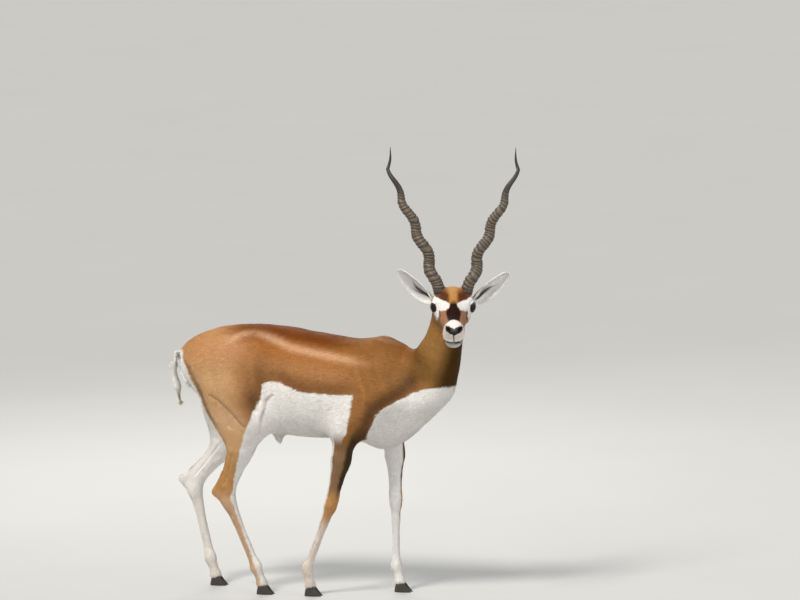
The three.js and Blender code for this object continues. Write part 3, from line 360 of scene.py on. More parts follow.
def feed(node, inputs):
    """Gives each named input of the node its value, or links it to the output that is given for it."""
    for name, value in inputs.items():
        if isinstance(value, bpy.types.NodeSocket):
            node.id_data.links.new(value, node.inputs[name])
        else:
            node.inputs[name].default_value = value


def add(nodes, kind, output, inputs=None, **values):
    """A new node of that kind: returns its named output."""
    node = nodes.new(kind)
    for name, value in values.items():
        setattr(node, name, value)
    feed(node, inputs or {})
    return node.outputs[output]


def attribute(nodes, name, output="Fac"):
    return add(nodes, "ShaderNodeAttribute", output, attribute_name=name)


def ranged(nodes, value, low, high, start=0.0):
    """From low to high, as value goes from start to 1."""
    inputs = {"Value": value, "From Min": start, "To Min": low, "To Max": high}
    return add(nodes, "ShaderNodeMapRange", "Result", inputs)


def dimmed(nodes, colour, share):
    return add(nodes, "ShaderNodeVectorMath", "Vector", {0: colour, "Scale": share}, operation="SCALE")


def bumped(nodes, height, strength, distance):
    inputs = {"Height": height, "Strength": strength, "Distance": distance}
    return add(nodes, "ShaderNodeBump", "Normal", inputs)


def ramp(nodes, factor, stops):
    """The colour at factor, between stops that go from a place to a colour."""
    node = nodes.new("ShaderNodeValToRGB")
    elements = node.color_ramp.elements
    elements.remove(elements[1])
    for count, (place, colour) in enumerate(stops.items()):
        element = elements.new(place) if count else elements[0]
        element.position = place
        element.color = (*colour, 1)
    feed(node, {"Fac": factor})
    return node.outputs["Color"]


def hair_bump_group():
    """Fine ridges for short fur: a height from stretched noise."""
    group = bpy.data.node_groups.new("hair_ridges", "ShaderNodeTree")
    group.interface.new_socket("Scale", in_out="INPUT", socket_type="NodeSocketFloat")
    group.interface.new_socket("Height", in_out="OUTPUT", socket_type="NodeSocketFloat")
    nodes = group.nodes
    scale = add(nodes, "NodeGroupInput", "Scale")
    place = add(nodes, "ShaderNodeTexCoord", "Object")
    stretched = add(nodes, "ShaderNodeMapping", "Vector", {"Vector": place, "Scale": (0.35, 1.6, 1.0)})
    noise = add(nodes, "ShaderNodeTexNoise", "Fac", {"Vector": stretched, "Scale": scale, "Detail": 3})
    feed(nodes.new("NodeGroupOutput"), {"Height": noise})
    return group


def coat_material(name, ridges=None, roughness=0.62):
    """The painted coat, with ridges on the skin and, where none are given, with painted shade on the tufts,
    darker at the root and paler at the tip.
    """
    material, nodes, shader = new_material(name)
    place = add(nodes, "ShaderNodeTexCoord", "Object")
    mottle = add(nodes, "ShaderNodeTexNoise", "Fac", {"Vector": place, "Scale": 60, "Detail": 4})
    shade = ranged(nodes, mottle, 0.90, 1.08)
    if ridges:
        group = add(nodes, "ShaderNodeGroup", "Height", node_tree=ridges)
        feed(group.node, {"Scale": 420})
        feed(shader, {"Normal": bumped(nodes, group, 0.5, 0.0012)})
    else:
        # Painted shade along each tuft: darker towards the root, a little lighter at the tip
        light = ranged(nodes, attribute(nodes, "tip"), 0.84, 1.06)
        shade = add(nodes, "ShaderNodeMath", "Value", {0: shade, 1: light}, operation="MULTIPLY")
    colour = dimmed(nodes, attribute(nodes, "coat", "Color"), shade)
    feed(shader, {"Base Color": colour, "Roughness": roughness, "Specular IOR Level": 0.06,
                  "Sheen Weight": 0.015, "Sheen Roughness": 0.45})
    return material


def horn_material():
    material, nodes, shader = new_material("horn")
    around = attribute(nodes, "around", "Vector")
    grain = add(nodes, "ShaderNodeTexNoise", "Fac", {"Vector": around, "Scale": 1, "Detail": 5})
    half = add(nodes, "ShaderNodeMath", "Value", {0: grain, 1: 0.55}, operation="MULTIPLY")
    inputs = {0: attribute(nodes, "ridge"), 1: 0.55, 2: half}
    mixed = add(nodes, "ShaderNodeMath", "Value", inputs, operation="MULTIPLY_ADD")
    tone = ramp(nodes, mixed, HORN_TONES)
    dark = ranged(nodes, attribute(nodes, "along"), 1.0, 0.42, start=0.55)
    feed(shader, {"Base Color": dimmed(nodes, tone, dark), "Roughness": ranged(nodes, grain, 0.62, 0.38),
                  "Normal": bumped(nodes, grain, 0.6, 0.0008)})
    return material


def hoof_material():
    material, nodes, shader = new_material("hoof")
    place = add(nodes, "ShaderNodeTexCoord", "Object")
    stretched = add(nodes, "ShaderNodeMapping", "Vector", {"Vector": place, "Scale": (0.25, 0.25, 1.4)})
    bands = add(nodes, "ShaderNodeTexNoise", "Fac", {"Vector": stretched, "Scale": 420})
    feed(shader, {"Base Color": ramp(nodes, bands, HOOF_TONES), "Roughness": 0.36,
                  "Normal": bumped(nodes, bands, 0.5, 0.0006)})
    return material


def eye_material():
    material, nodes, shader = new_material("eye")
    place = add(nodes, "ShaderNodeTexCoord", "Object")
    streaks = add(nodes, "ShaderNodeTexNoise", "Fac", {"Vector": place, "Scale": 900})
    inputs = {0: streaks, 1: 0.12, 2: attribute(nodes, "ring")}
    stir = add(nodes, "ShaderNodeMath", "Value", inputs, operation="MULTIPLY_ADD")
    feed(shader, {"Base Color": ramp(nodes, stir, EYE_TONES), "Roughness": 0.3, "Specular IOR Level": 0.1,
                  "Coat Weight": 0.15, "Coat Roughness": 0.03})
    return material


# The skin: one surface over all the flesh

def eye_middle(side):
    return np.array([EYE["f"], side * EYE["s"], EYE["t"]])


def joined_flesh():
    """All the flesh as one mesh, with balls that close the eyes, the horns' feet and the ears' roots."""
    joined = bmesh.new()
    for node in FLESH:
        joined.from_mesh(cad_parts[node].data)
    for side in (-1, 1):
        f, s, height = EAR["root"]
        balls = ((eye_middle(side), EYE["radius"] + LIDS["thickness"]),
                 ((HORN["base_f"], side * HORN_FOOT["s"], HORN_FOOT["t"]), HORN_FOOT["radius"]),
                 ((f + 2, side * (s - 2), height), EAR["root_radius"]))
        for centre, radius in balls:
            place = Matrix.Translation(Vector(from_head([centre])[0]))
            bmesh.ops.create_icosphere(joined, subdivisions=3, radius=radius / 1000, matrix=place)
    mesh = bpy.data.meshes.new("flesh")
    joined.to_mesh(mesh)
    joined.free()
    return mesh


def keep_largest(mesh):
    """Keeps the largest connected surface of the mesh."""
    with edited(mesh) as group:
        seen = np.zeros(len(group.verts), bool)
        best = []
        for start in group.verts:
            if seen[start.index]:
                continue
            seen[start.index] = True
            island = [start]
            for vertex in island:
                for edge in vertex.link_edges:
                    other = edge.other_vert(vertex)
                    if not seen[other.index]:
                        seen[other.index] = True
                        island.append(other)
            best = island if len(island) > len(best) else best
        kept = {vertex.index for vertex in best}
        bmesh.ops.delete(group, geom=[v for v in group.verts if v.index not in kept], context="VERTS")


def remeshed(mesh):
    piece = new_object("flesh_build", mesh)
    modifier = piece.modifiers.new("cells", "REMESH")
    modifier.mode = "VOXEL"
    modifier.voxel_size = SKIN_CELL
    made = bpy.data.meshes.new_from_object(piece.evaluated_get(bpy.context.evaluated_depsgraph_get()))
    made.name = "skin"
    bpy.data.objects.remove(piece)
    keep_largest(made)
    return made


def labels_of(points):
    """For points in metres, which of the flesh nodes is nearest."""
    corners, faces, nodes = [], [], []
    for index, node in enumerate(FLESH):
        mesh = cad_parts[node].data
        start = len(corners)
        corners.extend(v.co.copy() for v in mesh.vertices)
        faces.extend([start + i for i in polygon.vertices] for polygon in mesh.polygons)
        nodes.extend([index] * len(mesh.polygons))
    tree = BVHTree.FromPolygons(corners, faces)
    return np.array(nodes)[[tree.find_nearest(Vector(p))[2] for p in points]]


def is_upper(node):
    return "thigh" in node or "forearm" in node


def is_wide(node):
    """True for the nodes that have the body's full coat."""
    return node in ("torso", "neck") or is_upper(node)


def smoothed(mesh, labels):
    """Takes the facets off: wide smoothing on the trunk, light on the legs and the head."""
    points, edges = read_points(mesh), read_edges(mesh)
    kinds = [n if n in SMOOTHING else "upper" if is_upper(n) else "lower" for n in FLESH]
    amount = np.array([SMOOTHING[kind] for kind in kinds])[labels]
    amount = spread(amount, edges, 14)
    soft = spread(points, edges, 46, amount * 0.6)
    lost = spread(points - soft, edges, 150, amount * 0.6)
    write_points(mesh, soft + lost * np.clip(amount * 1.6, 0, 1)[:, None])


def refine(mesh, chosen):
    """Splits each face of which all corners are chosen."""
    with edited(mesh) as group:
        edges = [e for e in group.edges if chosen[e.verts[0].index] and chosen[e.verts[1].index]]
        bmesh.ops.subdivide_edges(group, edges=edges, cuts=1, use_grid_fill=True)
        bmesh.ops.triangulate(group, faces=[f for f in group.faces if len(f.verts) > 4])


def soften_new(mesh, chosen, times):
    points, edges = read_points(mesh), read_edges(mesh)
    write_points(mesh, spread(points, edges, times, chosen * 0.5))


def eye_axes(side):
    """Along the slit towards the nose, up, and out of the eye, in the head's frame."""
    out = math.radians(EYE_LOOK)
    look = unit(np.array([math.cos(out), side * math.sin(out), 0.05]))
    across = unit(np.cross([0, 0, 1], look)) * -side
    up = np.cross(look, across) * -side
    tilt = math.radians(LIDS["tilt"])
    front = across * math.cos(tilt) - up * math.sin(tilt)
    above = up * math.cos(tilt) + across * math.sin(tilt)
    return front, above, look


def eye_space(head_points, side):
    """Place on the eye: along the slit, above it, out of it, and the distance from the eye's middle."""
    offset = head_points - eye_middle(side)
    front, above, look = eye_axes(side)
    return offset @ front, offset @ above, offset @ look, np.linalg.norm(offset, axis=1)


def lid_gap(along, above):
    """How far inside the opening of the lids a place is, in mm: positive inside."""
    share = np.clip(1 - np.square(along / LIDS["half_length"]), 0, 1)
    edge = LIDS["half_height"] * share ** 0.75
    beyond = np.abs(along) - LIDS["half_length"]
    return np.where(beyond < 0, edge - np.abs(above + 0.6), -np.hypot(beyond, above + 0.6))


def mouth_height(f):
    """Height of the mouth line at f."""
    return np.interp(f, [MOUTH["corner"] - 8, MOUTH["corner"], MOUTH["lips"]],
                     [MOUTH["t_corner"] + 3, MOUTH["t_corner"], MOUTH["t_lips"]])


def nostril_share(h, side):
    """1 in the middle of the nostril and 0 at its rim, on the front of the nose."""
    slant = math.radians(38) * side
    s, t = h[:, 1] - side * NOSTRIL["s"], h[:, 2] - NOSTRIL["t"]
    wide = s * math.cos(slant) + t * math.sin(slant)
    tall = -s * math.sin(slant) + t * math.cos(slant)
    share = 1 - np.square(wide / NOSTRIL["length"]) - np.square(tall / (NOSTRIL["height"] + 0.6))
    return np.where(h[:, 0] > 132, share, -1)


def nose_pad(h):
    """1 on the bare black pad round the nostrils."""
    s, t = np.abs(h[:, 1]), h[:, 2]
    top = np.interp(s, [0, 6, 14, 22, 28], [5, 7, 10, 9, 5])
    bottom = np.interp(s, [0, 5, 14, 22, 28], [-17, -14, -10, -5, 0])
    inside = np.minimum(top - t, t - bottom)
    return ease(inside, -0.8, 0.8) * ease(h[:, 0], 128, 138) * ease(-s, -27, -25)


def carve_eye(h, push, side):
    """Lids that lie round the eyeball, their creases, the corner of the eye and the gland in front of it."""
    along, above, out, distance = eye_space(h, side)
    close = (distance < 30) & (out > 0)
    gap = lid_gap(along, above)
    wanted = np.where(gap > 0, EYE["radius"] - 2.2 * ease(gap, 0, 0.9),
                      EYE["radius"] + 0.7 + 1.3 * ease(-gap, 0.2, 2.4))
    pull = ease(-distance, -25.5, -22.5) * ease(out, 3, 7) * close
    h += unit(h - eye_middle(side)) * ((wanted - distance) * pull)[:, None]
    f, s, t = h.T
    crease = blob((above - 12.5 + np.square(along) / 42) / 1.3, along / 15)
    below = blob((above + 13.5 - np.square(along) / 40) / 1.5, along / 14)
    corner = blob((along - 17) / 3.2, (above + 1.0) / 1.6)
    gland = blob((f - 33) / 9, (t + 13 + (f - 33) * 0.35) / 1.7) * (s * side > 0)
    brow = blob((f - 2) / 20, (t - 22) / 5, (np.abs(s) - 44) / 14)
    push += 1.6 * brow - close * (1.5 * crease + 0.8 * below + 1.4 * corner) - 1.8 * gland


def carve_nostril(h, push, side):
    share = nostril_share(h, side)
    h[:, 0] -= NOSTRIL["depth"] * ease(share, 0.0, 0.55)
    push += 1.1 * ease(share, -0.9, -0.1) * ease(-share, -0.05, 0.1) * (h[:, 2] > NOSTRIL["t"] - 3)


def carve_mouth(h, push):
    """The mouth line between its lips, the cleft under the nose, and the hollows of the cheek."""
    f, s, t = h.T
    off = t - mouth_height(f)
    lips = (f > MOUTH["corner"] - 6) * (t < -15) * ease(f, MOUTH["corner"] - 6, MOUTH["corner"] + 6)
    push += lips * (0.9 * blob((off - 4) / 2.4) + 1.08 * blob((off + 4.2) / 2.6) - 4.2 * blob(off / 1.8))
    push -= 2.0 * blob(s / 1.4) * ease(f, 132, 142) * ease(-t, 16, 22) * ease(t, -41, -37)
    push -= 0.9 * blob((t + 20) / 7, (f - 62) / 22) + 0.8 * blob((t - 2) / 6, (f - 60) / 26)


def carve_head(points, normals):
    """Lids, nostrils, mouth and the folds of the face. points are in metres."""
    h = to_head(to_body(points))
    push = np.zeros(len(h))
    for side in (-1, 1):
        carve_eye(h, push, side)
        carve_nostril(h, push, side)
    carve_mouth(h, push)
    push += 0.5 * nose_pad(h)
    return from_head(h + normals @ HEAD_AXES * push[:, None])


def stroke(p, path, width, reach=30):
    """A soft band along a path of (x, z) on both flanks: 1 on the path."""
    best = np.full(len(p), 1e9)
    for (x0, z0), (x1, z1) in zip(path, path[1:]):
        run = np.array([x1 - x0, z1 - z0])
        offset = p[:, [0, 2]] - np.array([x0, z0])
        share = np.clip(offset @ run / (run @ run), 0, 1)
        best = np.minimum(best, np.linalg.norm(offset - share[:, None] * run, axis=1))
    return np.exp(-np.square(best / width)) * (np.abs(p[:, 1]) > reach)


# Ridges and, where the height is below 0, grooves of the muscles: height, path as (x, z), and half width
MUSCLES = [
    (3.0, [(252, 745), (285, 640), (300, 590)], 17),
    (-2.2, [(205, 720), (235, 640), (228, 560), (190, 520)], 11),
    (-2.0, [(322, 700), (345, 630), (335, 580)], 12),
    (2.4, [(210, 640), (180, 570), (160, 520)], 16),
    (3.4, [(-170, 792), (-205, 770)], 15),
    (-3.0, [(-120, 770), (-135, 720), (-118, 660), (-105, 610)], 16),
    (-2.4, [(-96, 640), (-100, 600), (-112, 575)], 8),
    (-1.8, [(-262, 690), (-240, 610), (-212, 540), (-200, 480)], 10),
    (2.2, [(-205, 660), (-175, 590), (-160, 545)], 22),
    (-2.4, THIGH_CREASE, 7),
    (1.6, [(-300, 680), (-268, 600), (-232, 520)], 16),
]
RIBS = {"count": 7, "first_x": 150, "apart": 34, "height": 0.8, "half_width": 9, "reach": 60}
WITHERS = {"path": [(335, 772), (392, 764)], "height": 11.0, "half_width": 34}
THIGH_BACK = {"z": 625, "half_height": 60, "depth": 16.0}


def carve_body(points, normals, labels):
    """Muscles, ribs and folds as soft ridges and grooves in millimetres."""
    p = to_body(points)
    push = np.zeros(len(p))
    for height, path, half_width in MUSCLES:
        push += height * stroke(p, path, half_width)
    for rib in range(RIBS["count"]):
        x = RIBS["first_x"] - rib * RIBS["apart"]
        path = [(x, 720), (x - 22, 640), (x - 26, 590)]
        push += RIBS["height"] * stroke(p, path, RIBS["half_width"], RIBS["reach"])
    push += WITHERS["height"] * stroke(p, WITHERS["path"], WITHERS["half_width"], -1)
    push -= 2.6 * stroke(p, FLANK_FOLD, 5) * ease(p[:, 2], 505, 560)
    behind = ease(-p[:, 0], 270, 320) * ease(np.abs(p[:, 1]), 20, 45)
    push -= THIGH_BACK["depth"] * blob((p[:, 2] - THIGH_BACK["z"]) / THIGH_BACK["half_height"]) * behind
    push *= np.array([is_wide(n) for n in FLESH])[labels]
    return points + normals * (push / 1000)[:, None]


def leg_space(p):
    """How far each point is ahead of its leg's middle line and outward of it, and whether the leg is hind."""
    forward = np.zeros(len(p))
    outward = np.zeros(len(p))
    hind = p[:, 0] < np.interp(p[:, 2], [0, 300, 520], [-60, -60, 0])
    for (end, side), joints in LEG_LINES.items():
        table = np.array(joints)[::-1]
        mine = (hind == (end == "hind")) & (np.sign(p[:, 1] + 1e-9) == side)
        x = np.interp(p[:, 2], table[:, 2], table[:, 0])
        y = np.interp(p[:, 2], table[:, 2], table[:, 1])
        forward[mine] = (p[:, 0] - x)[mine]
        outward[mine] = (np.abs(p[:, 1]) - y)[mine]
    return forward, outward, hind


def carve_legs(points, normals):
    """Grooves between bone and tendon on the cannons and the shanks, and the knobs of the joints."""
    p = to_body(points)
    forward, outward, hind = leg_space(p)
    z = p[:, 2]
    low = ease(z, 96, 120) * ease(-z, -262, -235)
    push = -1.5 * low * blob((forward + 3.5) / 3) * (np.abs(outward) > 4)
    gaskin = ease(z, 330, 350) * ease(-z, -470, -430) * hind
    push -= 2.4 * gaskin * blob((forward + 17) / 5)
    push += 0.9 * blob((z - 292) / 12) * (~hind) * (forward > 4)
    return points + normals * (push / 1000)[:, None]


def coat_depth(labels, edges):
    depths = [TAIL_DEPTH if n == "tail" else BODY_DEPTH if is_wide(n) else FACE_DEPTH for n in FLESH]
    return spread(np.array(depths, float)[labels], edges, 8)


def make_skin():
    mesh = remeshed(joined_flesh())
    labels = labels_of(read_points(mesh))
    smoothed(mesh, labels)
    points = read_points(mesh)
    edges = read_edges(mesh)
    depth = coat_depth(labels, edges)
    normals = point_normals(points, read_triangles(mesh))
    write_points(mesh, points - normals * (depth / 1000)[:, None])
    refine(mesh, to_head(to_body(read_points(mesh)))[:, 0] > -75)
    h = to_head(to_body(read_points(mesh)))
    soften_new(mesh, (h[:, 0] > -75).astype(float), 2)
    h = to_head(to_body(read_points(mesh)))
    fine = h[:, 0] > 118
    for side in (-1, 1):
        along, above, out, distance = eye_space(h, side)
        fine |= (distance < 27) & (out > 0)
    fine |= (h[:, 0] > 68) & (np.abs(h[:, 2] - mouth_height(h[:, 0])) < 9)
    refine(mesh, fine)
    points, triangles, edges = read_points(mesh), read_triangles(mesh), read_edges(mesh)
    points = carve_head(points, point_normals(points, triangles))
    labels = labels_of(points)
    normals = spread(point_normals(points, triangles), edges, 3)
    points = carve_body(points, unit(normals), labels)
    points = carve_legs(points, unit(normals))
    write_points(mesh, points)
    mesh.polygons.foreach_set("use_smooth", np.ones(len(mesh.polygons), bool))
    return mesh, labels


# Colours

def paint_trunk(p):
    x, y, z = p[:, 0], np.abs(p[:, 1]), p[:, 2]
    drop = line(x, TOP_LINE) - z
    colour = plain(FLANK, p)
    colour = layer(BACK_LOW, ease(-drop, -120, -46), colour)
    colour = layer(BACK, ease(-drop, -56, -16) * ease(x, -330, -120), colour)
    colour = layer(CROUP, ease(-x, 170, 290) * ease(-drop, -260, -60), colour)
    colour = layer(THIGH, ease(-x, 140, 230) * ease(-z, -760, -650), colour)
    colour = layer(THIGH_LOW, ease(-x, 100, 190) * ease(-z, -600, -500), colour)
    colour = layer(SHOULDER, ease(x, 90, 250) * 0.85, colour)
    streak = blob((z - line(x, STREAK_LINE)) / 12) * ease(x, -260, -190) * ease(-x, -300, -120)
    streak = streak * ease(y, 20, 55)
    colour = layer(STREAK, 0.62 * streak, colour)
    colour = layer(STREAK, 0.35 * blob((x + 205) / 60, (z - 762) / 34) * ease(y, 15, 50), colour)
    colour = layer(SHOULDER, 0.7 * ease(drop, 100, 160) * ease(x, -150, -90) * ease(-x, -170, -60), colour)
    # Painted shade where the front of the thigh meets the flank
    colour = layer(SHADE_AND_DARK_BROWN, 0.80 * blob((x + 122) / 34, (z - 606) / 54), colour)
    colour = layer(SHADE_AND_DARK_BROWN, 0.42 * blob((x + 96) / 28, (z - 668) / 44), colour)
    # Painted shade down the front of the shoulder beside the white of the chest, and on the shoulder below
    # the neck
    colour = layer(SHADE_AND_DARK_BROWN, 0.80 * stroke(p, SHOULDER_SHADE_LINE, 24), colour)
    colour = layer(SHADE_AND_DARK_BROWN, 0.30 * blob((x - 330) / 60, (z - 690) / 46), colour)
    # Painted shade on the lower flank just above the white, in front of the thigh
    edge = blob((z - line(x, FLANK_TOP) - 16) / 24) * ease(x, -90, -20) * ease(-x, -240, -150)
    colour = layer(LOW_FLANK_SHADE, 0.75 * edge, colour)
    colour = layer(LOW_FLANK_SHADE, 0.5 * blob((x + 112) / 60, (z - 692) / 46), colour)
    # Painted shade in the crease of the thigh
    colour = layer(SHADE_AND_DARK_BROWN, 0.34 * stroke(p, THIGH_CREASE, 7), colour)
    beside = blob((x - line(z, RUMP_EDGE) - 10) / 9) * ease(y, 30, 50)
    beside = beside * ease(-z, -730, -700) * ease(z, 500, 530)
    colour = layer(SHADE_AND_DARK_BROWN, (0.2 + 0.42 * ease(-p[:, 1], -30, 10)) * beside, colour)
    return colour


def paint_neck(p, colour):
    x, z = p[:, 0], p[:, 2]
    reach = (x - 362) * 0.757 + (z - 764) * 0.654
    colour = layer(NECK, ease(reach, -60, 20), colour)
    front = (x - 440) * 0.9 - (z - 700) * 0.28
    # Painted shade: the base of the neck above the chest, and darker down the front of the neck under the
    # chin
    colour = layer(THROAT_SHADE, 0.45 * ease(-reach, -60, 10) * ease(z, 650, 690) * ease(x, 330, 380), colour)
    colour = layer(THROAT_SHADE, 0.92 * ease(front, -6, 40) * ease(reach, -80, -20), colour)
    colour = layer(BACK, 0.6 * blob((reach + 18) / 30) * ease(z, 715, 760), colour)
    return colour


def white_share(p):
    """How far inside the white of the belly, chest and rump each point is, in mm."""
    x, y, z = p[:, 0], np.abs(p[:, 1]), p[:, 2]
    flank = np.minimum(line(x, FLANK_TOP) - z, line(z, FLANK_FRONT) - x)
    flank = np.minimum(flank, x - line(z, THIGH_FRONT))
    chest = np.minimum(line(x, CHEST_TOP) - z, x - 203)
    belly = np.minimum(np.minimum(575 - z, 62 - y), np.minimum(x + 190, 420 - x))
    rump = np.minimum(line(z, RUMP_HALF) - y, -250 - x)
    rump = np.maximum(rump, np.minimum(RUMP_SIDE - y, line(z, RUMP_EDGE) - x))
    rump = np.minimum(rump, 742 - z)
    return np.maximum(np.maximum(flank, chest), np.maximum(belly, rump))


def paint_legs(p, colour):
    forward, outward, hind = leg_space(p)
    z = p[:, 2]
    wide = np.interp(z, [60, 250, 300, 420, 520], [11, 11, 17, 24, 44])
    around = np.degrees(np.arctan2(outward, forward))
    fore = layer(SHOULDER, ease(z, 430, 520), plain(CHEEK, p) * 0.85)
    fore = layer(ORANGE, ease(-z, -350, -300), fore)
    stripe = ease(around, -14, -3) * ease(-around, -58, -30) * ease(z, 295, 350) * ease(-z, -580, -480)
    fore = layer(LEG_DARK, 0.92 * stripe, fore)
    pale = np.maximum(ease(around, 128, 146), ease(-around, 8, 20))
    pale = np.maximum(pale, ease(-z, -262, -190) * 0.9)
    fore = layer(WHITE, pale, fore)
    fore = layer(ORANGE, 0.25 * ease(-z, -240, -200) * ease(around, 0, 60) * ease(-around, -170, -110), fore)
    back = layer(THIGH, ease(z, 380, 470), plain(ORANGE, p))
    edge = line(z, HIND_WHITE)
    pale = np.maximum(ease(forward - edge, -3, 3), ease(-outward, wide * 0.15, wide * 0.5))
    back = layer(WHITE, pale, back)
    back = layer(SHADE_WHITE, 0.3 * ease(-z, -330, -280) + 0.2 * ease(-z, -110, -60), back)
    legs = np.where(hind[:, None], back, fore)
    aside = np.maximum(ease(np.abs(p[:, 1]), 26, 40), ease(-z, -440, -420))
    return layer(legs, ease(-z, -560, -480) * aside, colour)


def paint_forehead(h):
    """The crown, the white brows and the dark blaze. rise is the height seen from the front."""
    f, s, t = h[:, 0], np.abs(h[:, 1]), h[:, 2]
    rise = 0.883 * t - 0.469 * f
    colour = layer(NECK, ease(-f, 10, 60), plain(CHEEK, h))
    colour = layer(FACE_STRIP, ease(f, 10, 30) * ease(-s, -46, -40) * ease(t, -26, -14), colour)
    brow_top, brow_low = line(s, BROW_TOP), line(s, BROW_LOW)
    above_brow = ease(rise - brow_top, -2.4, 2.4) * ease(t, 10, 18) * ease(f, -80, -66)
    colour = layer(CROWN, above_brow, colour)
    maroon = above_brow * ease(brow_top + 36 - rise, -16, 16) * ease(s, 6, 19) * ease(-s, -56, -50)
    colour = layer(MAROON, 0.94 * maroon, colour)
    colour = layer(MAROON, 0.7 * blob((f - HORN["base_f"]) / 22, (s - 43) / 20) * ease(t, 22, 30), colour)
    blaze = ease(line(-rise, BLAZE_HALF) - s, -3.6, 3.0) * ease(-rise, -24, -6) * ease(t, -4, 2)
    colour = layer(BLAZE, blaze * ease(f, -10, 0), colour)
    brow = ease(brow_top - rise, -2.2, 2.2) * ease(rise - brow_low, -2.2, 2.2) * ease(s, 9.5, 13.5)
    colour = layer(FACE_WHITE, brow * ease(t, -22, -10) * ease(f, -60, -46), colour)
    strip = ease(line(-rise, STRIP_HALF) - np.abs(s - 51), -2, 2) * ease(-rise, -12, -4) * ease(f, -10, 0)
    colour = layer(FACE_WHITE, strip, colour)
    tear_line = blob((s - 40) / 1.8) * ease(-rise, 8, 14) * ease(rise, -44, -36) * ease(t, -30, -24)
    return layer(MAROON, 0.85 * tear_line, colour)


def paint_eye_rings(h, colour):
    for side in (-1, 1):
        along, above, out, distance = eye_space(h, side)
        here = (h[:, 1] * side > 0) & (out > -4)
        colour = layer(FACE_WHITE, ease(-distance, -33, -27) * here, colour)
        # Dark bare rims of the lids; the wider dark above the eye is painted shadow under the brow
        rim = 2.6 + 2.4 * ease(above, -4, 8) + 1.5 * ease(-along, 0, 12)
        dark = ease(lid_gap(along, above) + rim, -0.8, 0.8) * (distance < 29) * (out > 2)
        colour = layer(NOSE, dark * here, colour)
    behind = blob((h[:, 0] + 24) / 22, (h[:, 2] - 4) / 16) * (np.abs(h[:, 1]) > 36)
    return layer(FACE_WHITE, np.clip(1.5 * behind, 0, 1), colour)


def paint_muzzle(h, colour):
    f, s, t = h[:, 0], np.abs(h[:, 1]), h[:, 2]
    off = t - mouth_height(f)
    colour = layer(MUZZLE, ease(f - line(s, MUZZLE_START), -2.5, 2.5), colour)
    colour = layer(MUZZLE, ease(-off, 0, 3) * ease(f, 60, 92), colour)
    colour = layer(CHIN, 0.8 * ease(-off, 1, 6) * ease(f, 112, 128), colour)
    # Painted shade: a dark band just under the mouth line, where the upper lip shades the lower
    colour = layer(LIP_SHADE, 0.75 * ease(-off, 0, 2) * ease(off, -8, -4) * ease(f, 108, 126), colour)
    pad = nose_pad(h)
    colour = layer(NOSE_PAD, pad, colour)
    # Painted highlight on the top middle of the wet nose pad
    colour = layer(PAD_HIGHLIGHT, 0.6 * pad * blob(s / 9, (t - 2) / 5), colour)
    for side in (-1, 1):
        colour = layer(NOSTRIL_DARK, ease(nostril_share(h, side), 0.0, 0.3), colour)
    mouth = ease(-np.abs(off), -3.4, -2.0) * ease(f, MOUTH["corner"] - 5, MOUTH["corner"] + 3)
    colour = layer(MOUTH_DARK, mouth, colour)
    cleft = blob(s / 1.9) * ease(f, 132, 142) * ease(-t, 10, 15) * ease(t, -43, -39)
    return layer(NOSE, cleft, colour)


def paint(points):
    """Colour of the coat at points in metres, from the marking lines, with shade painted into folds and a
    highlight painted on the nose.
    """
    p = to_body(points)
    p = p + np.stack([waver(p, 20, k) for k in (1, 2, 3)], axis=1) * 1.3
    colour = paint_neck(p, paint_trunk(p))
    colour = paint_legs(p, colour)
    high = np.maximum(ease(p[:, 2], 470, 520), ease(-np.abs(p[:, 1]), -44, -34) * ease(p[:, 2], 420, 440))
    high = np.maximum(high, ease(-p[:, 1], 20, 34) * ease(p[:, 0], 196, 212) * ease(p[:, 2], 420, 440))
    share = ease(white_share(p), -3, 3) * high
    colour = layer(WHITE, share, colour)
    # Painted shade in the fold between the flank and the hind leg
    colour = layer(SHADE_AND_DARK_BROWN, 0.5 * stroke(p, FLANK_FOLD, 4.5) * ease(p[:, 2], 505, 560), colour)
    tail = ease(-p[:, 0], 372, 392) * ease(p[:, 2], 520, 545) * ease(-np.abs(p[:, 1]), -44, -36)
    colour = layer(WHITE, tail * ease(-p[:, 2], -726, -700), colour)
    colour = layer(TAIL_TIP, 0.85 * tail * ease(-p[:, 2], -622, -588), colour)
    h = to_head(to_body(points))
    h = h + np.stack([waver(h, 12, k) for k in (4, 5, 6)], axis=1) * 1.1
    on_head = ease(h[:, 0] * 0.776 + h[:, 2] * 0.63 + 57, -14, 14) * (p[:, 0] > 380) * (p[:, 2] > 740)
    colour = layer(paint_muzzle(h, paint_eye_rings(h, paint_forehead(h))), on_head, colour)
    return np.clip(colour, 0.002, 0.95)


# The coat

# Which way the hair lies on each kind of flesh node, apart from the head
LIE = {"torso": (-1.0, 0, -0.28), "neck": (-0.75, 0.05, -0.66), "tail": (-0.1, 0, -1.0),
       "thigh": (-0.45, 0, -0.85), "forearm": (-0.3, 0, -0.9)}
LOWER_LEG_LIE = (-0.18, 0, -1.0)


def lie_of_coat(points, normals, labels, edges):
    """Which way the hair lies at each point of the skin."""
    p = to_body(points)
    flow = np.array([LIE.get(n.split("_")[-1], LOWER_LEG_LIE) for n in FLESH])[labels]
    h = to_head(p)
    head = labels == FLESH.index("head")
    outward = np.sign(h[:, 1]) * ease(np.abs(h[:, 1]), 10, 45)
    face = np.stack([-np.ones(len(h)), 0.35 * outward, np.where(h[:, 2] < -20, -0.25, 0.1)], axis=1)
    flow[head] = (face @ HEAD_AXES.T)[head]
    flow += np.stack([waver(p, 90, k) for k in (11, 12, 13)], axis=1) * 0.16
    flow = spread(flow, edges, 12)
    flow -= normals * np.sum(flow * normals, axis=1, keepdims=True)
    return unit(flow)


